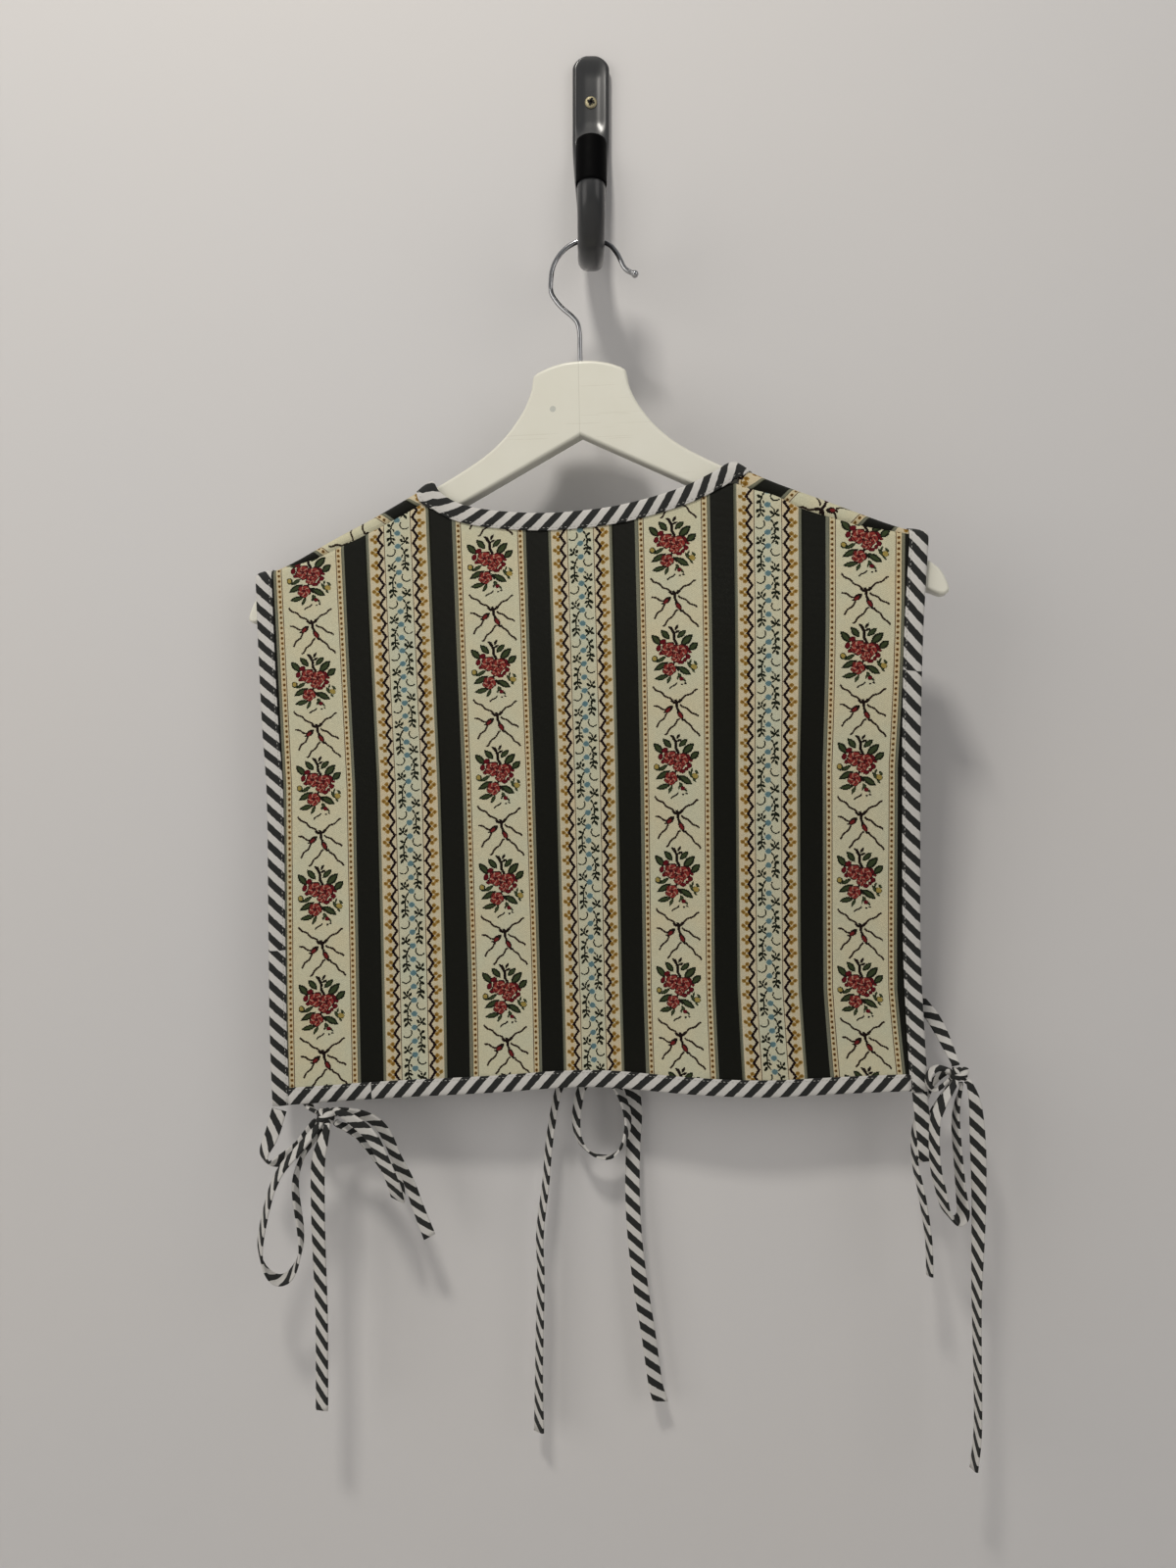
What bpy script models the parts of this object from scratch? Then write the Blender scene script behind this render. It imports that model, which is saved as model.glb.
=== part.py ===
"""Waistcoat of striped jacquard on a flat wooden hanger, hung from a tubular wall hook.

Metres, +Z up. X runs along the wall, -Y into the room, and the origin is on the flat back of the
hook's plate. The garment's back faces the room. Tables are in millimetres.
"""

import math

import bmesh
import bpy
from mathutils import Matrix, Vector

MM = 0.001

# Wall hook: a steel tube pressed flat into a plate and bent into a J
PLATE_TOP = 0.0446
PLATE_HALF_WIDTH = 0.0120
PLATE_HALF_DEPTH = 0.0027
PLATE_CORNER = 0.0024
PLATE_LEVEL_END = -0.012
DISH_DEPTH = 0.0014
SCREW_HEIGHT = 0.014
TUBE_RADIUS = 0.00825
BEND_HALF_DEPTH = 0.0065
BEND_CENTRE = (-0.045, -0.0783)
BEND_REACH = 0.0313
BEND_DROP = 0.0260
ARM_TOP = -0.0545
CAP_TOP = -0.0513
CAP_BOTTOM = -0.0784
CAP_RADIUS = 0.00925
SEAT_GAP = 0.0003

# Hanger: flat wood, turned and tipped a little as it hangs
HANGER_HEAD = (-0.0067, -0.045, -0.172)
HANGER_TURN = math.radians(8.0)
HANGER_TIP = math.radians(1.15)
HANGER_THICKNESS = 0.012
HANGER_EDGE = 0.0012
WIRE_RADIUS = 0.0015
WIRE_SOCKET = 0.014
HOOK_RADIUS = 0.0232
HOOK_CENTRE = (0.0060, 0.0531)

# Cloth
CLOTH = 0.0010
BINDING_WALL = 0.0010
BINDING_WIDTH = 0.0105
SEAM_GAP = 0.0006
CORNER_GAP = 0.0014
CHANNEL_GAP = 0.0006
TAPE_THICKNESS = 0.0018
GAP_AT_HANGER = 0.0094
GAP_AT_HEM = 0.0062
FOLD_RISE = 0.0055
FOLD_SQUARENESS = 2.8
HANGER_TIP_HEIGHT = -0.318
HEM_HEIGHT = -0.628
DEPTH_AT_HANGER = -0.045
DEPTH_AT_HEM = -0.0265
TURN_AT_HEM = math.radians(1.0)
FRONT_HEM_RISE = 0.004
OPENING_GAP = 0.0012
WAVE_DEPTH = 0.0015
WAVE_LENGTH = 0.150
WAVE_START = 0.8

# Outer edges of the bindings at the open sides: height, left edge, right edge
SIDE_EDGES = [
    (-285, -213.6, 197.4),
    (-345, -211.2, 194.4),
    (-400, -208.2, 195.2),
    (-440, -205.2, 197.3),
    (-530, -203.6, 203.0),
    (-590, -202.6, 208.2),
    (-640, -200.8, 212.4),
]

# Top of the shoulder fold, and how far the shoulder seam lies from it round the cloth: x, height, seam
SHOULDER = [
    (-216, -299.6, 1.5),
    (-204, -296.6, 1.5),
    (-190, -291.6, 2.5),
    (-174, -283.4, 7.0),
    (-157, -274.6, 13.0),
    (-137, -264.8, 15.0),
    (-120, -255.8, 16.0),
    (-106, -248.0, 17.0),
    (-98, -243.0, 17.0),
    (86, -239.2, 19.5),
    (95, -244.4, 18.0),
    (110, -251.4, 15.8),
    (124, -257.2, 17.6),
    (140, -263.6, 17.0),
    (160, -272.0, 14.8),
    (177, -278.8, 11.5),
    (190, -283.0, 9.5),
    (200, -284.6, 8.5),
]

# Outer edge of the neck binding on the back, from the left fold to the right one: x, height
BACK_NECK = [
    (-98.5, -243.0),
    (-95.0, -249.0),
    (-88.0, -254.8),
    (-78.0, -259.4),
    (-62.0, -262.9),
    (-41.0, -265.2),
    (-24.0, -265.8),
    (-8.0, -265.2),
    (11.0, -263.5),
    (28.0, -260.4),
    (44.0, -256.4),
    (58.0, -251.8),
    (70.0, -246.2),
    (79.0, -241.6),
    (86.0, -239.2),
]

# Outer edge of each front neck binding: share of the way to the centre opening, drop from the fold
FRONT_NECK = [
    (0.00, 0.0),
    (0.03, 12.0),
    (0.08, 28.0),
    (0.17, 47.0),
    (0.31, 66.0),
    (0.50, 83.0),
    (0.74, 97.0),
    (1.00, 105.0),
]

# Lower edge of the back hem binding: x, height
BACK_HEM = [
    (-204, -635.0),
    (-161, -632.4),
    (-100, -628.4),
    (-59, -625.6),
    (-17, -622.8),
    (12, -623.0),
    (58, -626.4),
    (107, -628.1),
    (151, -626.6),
    (214, -623.4),
]

# Half of the hanger's outline from the middle of its head: out, up
HANGER_UPPER = [
    (3.5, 0.0),
    (10.0, -0.6),
    (19.0, -2.7),
    (26.0, -5.6),
    (28.4, -7.6),
    (29.2, -10.5),
    (30.6, -17.5),
    (35.9, -29.0),
    (46.7, -43.2),
    (61.6, -55.8),
    (84.8, -69.2),
    (206.0, -132.6),
    (211.5, -137.4),
    (214.8, -143.2),
    (216.7, -149.0),
    (215.6, -151.8),
    (212.0, -152.8),
    (205.0, -150.0),
]
HANGER_APEX = (0.0, -45.8)

# Wire of the hanger hook beside its round part: out, up, from the head
WIRE_FOOT = [(0.0, -13.0), (0.0, 10.0), (0.0, 18.0), (-1.2, 25.0), (-4.6, 29.6), (-9.8, 34.4),
             (-14.2, 39.6), (-17.4, 46.0)]
WIRE_END = [(23.8, 65.6), (26.2, 60.4), (29.0, 56.4), (32.6, 53.8)]
BALL_CENTRE = (34.95, 52.6)
BALL_RADIUS = 0.0023

# Ties as strips of tape: x, y, z, roll in degrees, width
TIES = {
    "tie_left_strap_back": [
        (-196.2, -32.2, -636.8, 0, 9.5), (-200.5, -33.5, -652, 10, 9.5), (-204.6, -35.5, -662.8, 50, 9.5),
        (-201.5, -36.5, -669, 80, 9.5), (-194, -36.5, -667.6, 80, 9), (-183, -35.5, -660, 60, 8),
        (-177.5, -36, -652, 45, 6), (-173.4, -37.9, -643.5, 30, 4.5)],
    "tie_left_strap_front": [
        (-197, -18.4, -632.4, 90, 8), (-188, -19, -633.6, 90, 8), (-181, -23, -635.2, 90, 6.5),
        (-177.5, -29, -636.6, 85, 5), (-174, -33.9, -637.5, 70, 4)],
    "tie_left_loop_long": [
        (-170.4, -43.9, -645, 20, 4), (-180.5, -47.3, -657.5, 45, 7), (-190.9, -47.5, -669.7, 60, 8),
        (-197.9, -48, -686.2, 65, 9), (-203.9, -47, -715, 65, 9.5), (-202, -45.5, -730.3, 75, 9.5),
        (-195, -43.5, -738.9, 85, 9.5), (-187, -41.5, -737.2, 85, 9.5), (-181.3, -40.5, -725.2, 75, 9.5),
        (-180.7, -40, -710.9, 65, 9), (-184, -40.5, -682, 60, 8), (-180, -41, -664.9, 60, 6.5),
        (-172.5, -39.5, -653.5, 40, 5), (-168.9, -36.9, -648, 20, 4)],
    "tie_left_tail_long": [
        (-163.2, -43.9, -646, 0, 4), (-166, -46, -654, 0, 7.5), (-168.6, -46, -667.6, 0, 9.5),
        (-169, -44, -698.6, 0, 9.5), (-168.5, -42, -729.8, 5, 9.5), (-167.5, -41, -760.7, 10, 9.5),
        (-167.5, -40, -797.7, 10, 9.5), (-167.5, -40, -821.5, 10, 9.5)],
    "tie_left_loop_short": [
        (-156.7, -40.9, -635.6, 0, 4.5), (-145.9, -43, -641.6, 0, 8.5), (-135.4, -46, -650, 0, 9.5),
        (-128.1, -47, -663.9, 0, 9.5), (-121.8, -46.5, -679, 0, 9.5), (-120.2, -40.5, -690, 0, 9.5),
        (-122.2, -34.5, -682, 0, 9.5), (-131.5, -33.4, -668, 0, 9.5), (-145, -33.6, -652, 0, 8),
        (-157.4, -36.4, -644.5, 0, 4)],
    "tie_left_tail_short": [
        (-158.2, -29.7, -637.5, 60, 4), (-143.7, -26.8, -642, 60, 6.5), (-132.1, -25.8, -651.2, 60, 8),
        (-123.4, -25.5, -669.7, 62, 8), (-115.7, -26, -684.1, 62, 8), (-109.7, -27, -699.9, 60, 8.5),
        (-102.2, -28, -718.5, 55, 9)],
    "tie_centre_strap_left": [
        (-3, -16.6, -592, 0, 9), (-2.6, -16, -599, 0, 7.5), (-1.2, -13.5, -605.2, 0, 4)],
    "tie_centre_strap_right": [
        (10.2, -16.6, -592, 0, 9), (9.8, -16, -599, 0, 7.5), (7.6, -13.5, -605.2, 0, 4)],
    "tie_centre_tail_left": [
        (-5.8, -11.5, -615.5, 60, 4.5), (-13, -12, -621, 60, 6), (-20.9, -12, -630, 60, 7),
        (-26.6, -13, -661, 62, 8), (-29.1, -13.5, -689.2, 65, 9), (-32.9, -14, -722, 62, 9),
        (-32.3, -14, -748.6, 62, 9), (-32.9, -14, -780.2, 60, 9), (-33.5, -14, -811.8, 60, 9),
        (-33.5, -14, -849.8, 50, 9.5)],
    "tie_centre_loop": [
        (-1, -15, -621, 30, 4.5), (-6.3, -16, -629, 50, 7), (-9.5, -16, -646.5, 60, 8.5),
        (-7.6, -16, -660.1, 70, 9), (-0.6, -16, -668.9, 80, 9.5), (8.8, -16, -672.1, 85, 9.5),
        (16.7, -15.5, -669.5, 80, 9.5), (22.1, -14.5, -660.4, 70, 9), (23.8, -13.5, -646.8, 60, 8.5),
        (18.4, -12.5, -630.9, 50, 6.5), (10.5, -12, -621.4, 30, 4.5)],
    "tie_centre_tail_right": [
        (12.4, -8.5, -614, 0, 4.5), (20, -7, -620.5, 0, 7.5), (27, -6, -632, 0, 9.5),
        (28.8, -6, -648, 0, 9.5), (27.8, -6.5, -664, 5, 9.5), (27, -9, -694.3, 15, 9.5),
        (28.5, -10.5, -725.6, 20, 9.5), (32.2, -11.5, -756.8, 15, 9.5), (37.3, -12, -788.4, 0, 9.5),
        (41.7, -12.5, -819.4, 0, 9.5), (44.9, -12.5, -830.8, 0, 9.5)],
    "tie_right_strap_back": [
        (205.6, -36.4, -624.6, 0, 9.5), (206.8, -38, -640, 0, 9.5), (207.9, -40, -655, 0, 9.5),
        (208.6, -40.2, -662.6, 0, 9.5), (209, -37, -667, 0, 9.5), (209.4, -33.6, -662.2, 0, 9.5),
        (213, -33, -648, 0, 9.5), (220.5, -33, -632, 0, 7), (226.6, -34.5, -619.8, 0, 4)],
    "tie_right_strap_front": [
        (204.5, -24.3, -565, 0, 8.5), (212, -25.3, -573.5, 0, 8.5), (218, -27, -582, 0, 8.5),
        (222.5, -31, -592, 0, 7.5), (226, -37.5, -603.6, 0, 5)],
    "tie_right_loop_small": [
        (220.4, -41.6, -609.6, 60, 3.6), (214.5, -42.2, -608.2, 75, 5.5), (210.2, -42.5, -611.6, 85, 6.5),
        (209.2, -42.5, -617, 88, 6.5), (212, -42, -621.8, 85, 6), (216.6, -41.2, -620.6, 75, 5),
        (220, -40.6, -617, 60, 4)],
    "tie_right_loop_long": [
        (222, -48, -617.8, 20, 4), (214.5, -49.5, -630, 50, 7), (210.9, -50, -642, 60, 8),
        (211.5, -49.5, -665.7, 62, 9), (215.5, -48, -683, 65, 9.5), (219.1, -46.5, -695.2, 75, 9.5),
        (225.6, -43.5, -702.6, 88, 9.5), (231.2, -41, -699.5, 80, 9.5), (230.6, -39, -685, 65, 9.5),
        (229.2, -38.5, -666.7, 60, 9), (227.6, -38.5, -645, 60, 8), (227.8, -40.5, -631.2, 50, 6),
        (229.8, -42.5, -619.8, 20, 4)],
    "tie_right_tail_long": [
        (234.1, -47, -616.8, 0, 4), (236.6, -47.5, -629.2, 0, 7.5), (238.8, -45.5, -651.6, 0, 9.5),
        (240, -44, -677, 0, 9.5), (240.2, -43, -702.4, 0, 9.5), (239.4, -42, -747.3, 10, 9.5),
        (239.9, -41.5, -784.4, 30, 9.5), (240.5, -41, -831.3, 45, 9), (238, -41, -858.1, 50, 9)],
    "tie_right_tail_short": [
        (220.6, -33.4, -612.2, 60, 4), (216, -27.5, -622, 60, 6), (209, -26, -640, 60, 7),
        (205.8, -24.5, -655, 62, 7.5), (205.6, -27.5, -673, 62, 8), (208, -33, -690, 60, 8),
        (211.2, -36.5, -716.6, 60, 8.5), (211.8, -37, -739.3, 50, 9)],
}
TIE_STEPS = 2

# Knots: name, centre, half sizes
KNOTS = [
    ("tie_left_knot", (-165.4, -37.4, -639.0), (7, 5.5, 5.8)),
    ("tie_centre_knot", (3.2, -11.9, -612.5), (7, 5, 6)),
    ("tie_right_knot", (228.6, -42, -611.8), (6.4, 5.5, 5)),
]
KNOT_REACH = 16
KNOT_APPROACH = 3.2
KNOT_GAP = 0.6


def read_table(rows, at, column):
    """The column's value at a place in the first column, on a smooth curve through the rows."""
    key = at / MM
    last = len(rows) - 1
    if key <= rows[0][0]:
        return rows[0][column] * MM
    if key >= rows[last][0]:
        return rows[last][column] * MM
    i = next(n for n in range(last) if rows[n][0] <= key <= rows[n + 1][0])

    def slope(n):
        low, high = max(n - 1, 0), min(n + 1, last)
        return (rows[high][column] - rows[low][column]) / (rows[high][0] - rows[low][0])

    span = rows[i + 1][0] - rows[i][0]
    s = (key - rows[i][0]) / span
    a, b = rows[i][column], rows[i + 1][column]
    value = (
        a * (2 * s**3 - 3 * s**2 + 1)
        + b * (3 * s**2 - 2 * s**3)
        + slope(i) * span * (s**3 - 2 * s**2 + s)
        + slope(i + 1) * span * (s**3 - s**2)
    )
    return value * MM


EDGES_UPWARD = SIDE_EDGES[::-1]


def left_edge(z):
    return read_table(EDGES_UPWARD, z, 1)


def right_edge(z):
    return read_table(EDGES_UPWARD, z, 2)


def fold_height(x):
    """Top of the shoulder fold, carried level across the neck."""
    neck_left, neck_right = SHOULDER[8], SHOULDER[9]
    if neck_left[0] * MM < x < neck_right[0] * MM:
        share = (x / MM - neck_left[0]) / (neck_right[0] - neck_left[0])
        return (neck_left[1] + share * (neck_right[1] - neck_left[1])) * MM
    return read_table(SHOULDER[:9] if x < 0 else SHOULDER[9:], x, 1)


def seam_place(x):
    """How far the shoulder seam lies from the top of the fold, round the cloth."""
    return read_table(SHOULDER[:9] if x < 0 else SHOULDER[9:], x, 2)


def smooth_step(t):
    t = min(1.0, max(0.0, t))
    return t * t * (3 - 2 * t)


# Depth of the cloth

def hang(z):
    """0 where the hanger holds the cloth, 1 at the hem."""
    return smooth_step((HANGER_TIP_HEIGHT - z) / (HANGER_TIP_HEIGHT - HEM_HEIGHT))


def middle_depth(x, z):
    """Depth of the plane halfway between the back and the fronts, with the hem's soft waves."""
    share = hang(z)
    turn = HANGER_TURN + (TURN_AT_HEM - HANGER_TURN) * share
    depth = DEPTH_AT_HANGER + (DEPTH_AT_HEM - DEPTH_AT_HANGER) * share
    wave = WAVE_DEPTH * math.sin(2 * math.pi * x / WAVE_LENGTH + WAVE_START)
    return depth - math.tan(turn) * (x - HANGER_HEAD[0]) + wave * share


def half_gap(z):
    return GAP_AT_HANGER + (GAP_AT_HEM - GAP_AT_HANGER) * hang(z)


def fold_quarter():
    """Points down one side of the fold, from its top: out, down, and the length to each."""
    points, steps = [(0.0, 0.0, 0.0)], 24
    for i in range(1, steps + 1):
        angle = 0.5 * math.pi * i / steps
        out = math.sin(angle) ** (2 / FOLD_SQUARENESS)
        down = FOLD_RISE * (1 - math.cos(angle) ** (2 / FOLD_SQUARENESS))
        far = math.hypot((out - points[-1][0]) * GAP_AT_HANGER, down - points[-1][1])
        points.append((out, down, points[-1][2] + far))
    return points


FOLD = fold_quarter()
FOLD_LENGTH = FOLD[-1][2]


def on_cloth(x, t):
    """A point on the cloth: t runs from the fold, down the back if above 0 and the fronts if below."""
    length, side = abs(t), 1.0 if t >= 0 else -1.0
    if length >= FOLD_LENGTH:
        out, down = 1.0, FOLD_RISE + length - FOLD_LENGTH
    else:
        i = next(n for n in range(len(FOLD) - 1) if FOLD[n + 1][2] >= length)
        a, b = FOLD[i], FOLD[i + 1]
        share = (length - a[2]) / (b[2] - a[2])
        out, down = a[0] + (b[0] - a[0]) * share, a[1] + (b[1] - a[1]) * share
    z = fold_height(x) - down
    return Vector((x, middle_depth(x, z) - side * out * half_gap(z), z))


def cloth_normal(x, t):
    """Outward normal of the cloth."""
    step = 0.0008
    across = on_cloth(x + step, t) - on_cloth(x - step, t)
    down = on_cloth(x, t + step) - on_cloth(x, t - step)
    return down.cross(across).normalized()


def place_of(x, z, side=1.0):
    """Distance from the fold, round the cloth, of a height below the fold."""
    down = fold_height(x) - z
    if down >= FOLD_RISE:
        return side * (FOLD_LENGTH + down - FOLD_RISE)
    i = next(n for n in range(len(FOLD) - 1) if FOLD[n + 1][1] >= down)
    a, b = FOLD[i], FOLD[i + 1]
    return side * (a[2] + (b[2] - a[2]) * (down - a[1]) / max(b[1] - a[1], 1e-9))


def height_of(x, t):
    return fold_height(x) - FOLD_RISE - max(abs(t) - FOLD_LENGTH, -FOLD_RISE)


def centre_line(z):
    """Middle of the garment, which leans a little as the hanger tips."""
    return -0.0081 + 0.0134 * (-0.300 - z) / 0.334


# Objects and materials

def material(name, colour, roughness, metallic=0.0):
    mat = bpy.data.materials.new(name)
    mat.use_nodes = True
    shader = mat.node_tree.nodes["Principled BSDF"]
    shader.inputs["Base Color"].default_value = (*colour, 1.0)
    shader.inputs["Roughness"].default_value = roughness
    shader.inputs["Metallic"].default_value = metallic
    return mat


def add_mesh(name, bm, mat, collection, smooth=True):
    mesh = bpy.data.meshes.new(name)
    bm.to_mesh(mesh)
    bm.free()
    obj = bpy.data.objects.new(name, mesh)
    obj.data.materials.append(mat)
    collection.objects.link(obj)
    if smooth:
        mesh.shade_smooth()
    return obj


def solidify(obj, thickness):
    wall = obj.modifiers.new("wall", "SOLIDIFY")
    wall.thickness = thickness
    wall.offset = 0.0
    wall.use_even_offset = True
    return wall


def grid_of(points):
    """An open sheet of quads through rows of points, left open where a row has None."""
    bm = bmesh.new()
    rows = [[bm.verts.new(p) if p else None for p in row] for row in points]
    for above, below in zip(rows, rows[1:]):
        for corners in zip(above, below, below[1:], above[1:]):
            if None not in corners:
                bm.faces.new(corners)
    return bm


def mesh_from_curve(obj):
    """The curve's shape as a mesh of its own, with its caps welded."""
    depsgraph = bpy.context.evaluated_depsgraph_get()
    mesh = bpy.data.meshes.new_from_object(obj.evaluated_get(depsgraph))
    bm = bmesh.new()
    bm.from_mesh(mesh)
    bmesh.ops.remove_doubles(bm, verts=bm.verts, dist=0.00001)
    bm.to_mesh(mesh)
    bm.free()
    solid = bpy.data.objects.new(obj.name, mesh)
    solid.matrix_world = obj.matrix_world.copy()
    obj.users_collection[0].objects.link(solid)
    name = obj.name
    bpy.data.objects.remove(obj)
    solid.name = name
    return solid


def cut(obj, cutter):
    cutter.hide_render = True
    cutter.display_type = "WIRE"
    modifier = obj.modifiers.new("cut", "BOOLEAN")
    modifier.operation = "DIFFERENCE"
    modifier.object = cutter


def round_box(half_x, half_y, corner, front_steps, corner_steps=3):
    """Outline of a box with round corners, from its back right corner, anticlockwise from above."""
    points = []
    centres = [(1, 1, 0), (-1, 1, 90), (-1, -1, 180), (1, -1, 270)]
    for sx, sy, start in centres:
        for i in range(corner_steps + 1):
            angle = math.radians(start + 90 * i / corner_steps)
            points.append(
                (
                    sx * (half_x - corner) + corner * math.cos(angle),
                    sy * (half_y - corner) + corner * math.sin(angle),
                )
            )
        if sy < 0 and sx < 0:
            reach = half_x - corner
            for i in range(1, front_steps):
                points.append((-reach + 2 * reach * i / front_steps, -half_y))
    return points


# Wall hook

def hook_stations():
    """Sections down the hook: centre y, z, the way it runs, half width, half depth, corner."""
    stations = []
    for drop in (0.0, 0.4, 1.4, 3.2, 5.8, 9.0):
        share = min(1.0, drop / 9.0)
        width = PLATE_HALF_WIDTH * math.sqrt(max(0.06, 1 - (1 - share) ** 2))
        z = PLATE_TOP - drop * MM
        stations.append((-PLATE_HALF_DEPTH, z, -90.0, width, PLATE_HALF_DEPTH, PLATE_CORNER))
    for z in (0.030, 0.024, 0.018, 0.012, 0.006, 0.000, -0.006, PLATE_LEVEL_END):
        stations.append((-PLATE_HALF_DEPTH, z, -90.0, PLATE_HALF_WIDTH, PLATE_HALF_DEPTH, PLATE_CORNER))
    bend_y, bend_z = BEND_CENTRE
    leg_y = bend_y + BEND_REACH
    steps = 7
    for i in range(1, steps):
        share = smooth_step(i / steps)
        z = PLATE_LEVEL_END + (bend_z - PLATE_LEVEL_END) * i / steps
        depth = PLATE_HALF_DEPTH + (BEND_HALF_DEPTH - PLATE_HALF_DEPTH) * smooth_step(2.0 * i / steps)
        y = -depth + (leg_y + depth) * share
        width = PLATE_HALF_WIDTH + (TUBE_RADIUS - PLATE_HALF_WIDTH) * share
        lean = -90.0 - 12.0 * math.sin(math.pi * i / steps)
        stations.append((y, z, lean, width, depth, min(depth, width) * 0.96))
    for i in range(0, 13):
        angle = math.pi * i / 12
        y = bend_y + BEND_REACH * math.cos(angle)
        z = bend_z - BEND_DROP * math.sin(angle)
        way = math.degrees(math.atan2(-BEND_DROP * math.cos(angle), -BEND_REACH * math.sin(angle)))
        back_round = smooth_step((i - 8) / 4)
        depth = BEND_HALF_DEPTH + (TUBE_RADIUS - BEND_HALF_DEPTH) * back_round
        stations.append((y, z, way, TUBE_RADIUS, depth, depth * 0.98))
    stations.append((bend_y - BEND_REACH, ARM_TOP, 90.0, TUBE_RADIUS, TUBE_RADIUS, TUBE_RADIUS * 0.98))
    return stations


def dish(x, z):
    """How far the plate is pressed in round the screw."""
    across = min(1.0, abs(x) / (PLATE_HALF_WIDTH - 0.0015))
    along = (z - 0.016) / 0.026
    return DISH_DEPTH * smooth_step(1.6 * (1 - across)) * smooth_step(2.2 * (1 - abs(along)))


def add_wall_hook(mat, collection, cutters):
    bm = bmesh.new()
    rings = []
    for y, z, way, half_x, half_y, corner in hook_stations():
        run = Vector((0, math.cos(math.radians(way)), math.sin(math.radians(way))))
        back = Vector((0, -run.z, run.y))
        ring = []
        for px, py in round_box(half_x, half_y, min(corner, half_x * 0.99), 5):
            if py < -0.9 * half_y and z > PLATE_LEVEL_END:
                py += dish(px, z)
            ring.append(bm.verts.new(Vector((px, y, z)) + back * py))
        rings.append(ring)
    for a, b in zip(rings, rings[1:]):
        for i in range(len(a)):
            j = (i + 1) % len(a)
            bm.faces.new((a[i], a[j], b[j], b[i]))
    bm.faces.new(rings[0][::-1])
    bm.faces.new(rings[-1])
    bmesh.ops.recalc_face_normals(bm, faces=bm.faces)
    hook = add_mesh("wall_hook", bm, mat, collection)
    hole = bmesh.new()
    bmesh.ops.create_cone(hole, cap_ends=True, segments=16, radius1=0.0024, radius2=0.0024, depth=0.03)
    bmesh.ops.rotate(hole, verts=hole.verts, matrix=Matrix.Rotation(math.pi / 2, 3, "X"))
    cutter = add_mesh("screw_hole", hole, mat, cutters, smooth=False)
    cutter.location = (0, 0, SCREW_HEIGHT)
    cut(hook, cutter)


def turned(name, profile, segments, mat, collection):
    """A closed profile of radius and height, turned about its own Z."""
    bm = bmesh.new()
    verts = [bm.verts.new((r, 0, h)) for r, h in profile]
    for a, b in zip(verts, verts[1:]):
        bm.edges.new((a, b))
    obj = add_mesh(name, bm, mat, collection, smooth=False)
    screw = obj.modifiers.new("turn", "SCREW")
    screw.steps = screw.render_steps = segments
    screw.use_merge_vertices = True
    screw.merge_threshold = 0.00001
    screw.use_smooth_shade = True
    return obj


def add_tip_cap(mat, collection):
    height = CAP_TOP - CAP_BOTTOM
    bore = TUBE_RADIUS + SEAT_GAP
    roof = ARM_TOP + SEAT_GAP - CAP_BOTTOM
    r = CAP_RADIUS
    profile = [(0, height), (r - 0.0030, height - 0.0002), (r - 0.0010, height - 0.0010),
               (r, height - 0.0028), (r, 0.0003), (r - 0.0003, 0), (bore, 0), (bore, roof), (0, roof)]
    cap = turned("hook_tip_cap", profile, 24, mat, collection)
    cap.location = (0, BEND_CENTRE[0] - BEND_REACH, CAP_BOTTOM)


def add_wall_screw(mat, collection, cutters):
    """Countersunk screw, its head seated in the plate's dish and its shank cut level with the plate."""
    face = -2 * PLATE_HALF_DEPTH + DISH_DEPTH - SEAT_GAP
    head, shank = 0.0040, 0.0020
    profile = [(0, 0.0011), (0.0020, 0.0010), (0.0033, 0.0007), (head, 0.0002), (head, 0.0),
               (shank, 0.0), (shank, face), (0, face)]
    screw = turned("wall_screw", profile, 20, mat, collection)
    screw.location = (0, face, SCREW_HEIGHT)
    screw.rotation_euler = (math.pi / 2, 0, 0)
    for i, turn in enumerate((20, 110)):
        slot = bmesh.new()
        bmesh.ops.create_cube(slot, size=1.0)
        bmesh.ops.scale(slot, verts=slot.verts, vec=(0.0044, 0.0009, 0.0018))
        bmesh.ops.rotate(slot, verts=slot.verts, matrix=Matrix.Rotation(math.radians(turn), 3, "Z"))
        bmesh.ops.rotate(slot, verts=slot.verts, matrix=Matrix.Rotation(math.pi / 2, 3, "X"))
        cutter = add_mesh(f"screw_cross_{i}", slot, mat, cutters, smooth=False)
        cutter.location = (0, face - 0.0012, SCREW_HEIGHT)
        cut(screw, cutter)


# Hanger

def hanger_matrix():
    turn = Matrix.Rotation(-HANGER_TURN, 4, "Z") @ Matrix.Rotation(-HANGER_TIP, 4, "Y")
    return Matrix.Translation(HANGER_HEAD) @ turn


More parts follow.
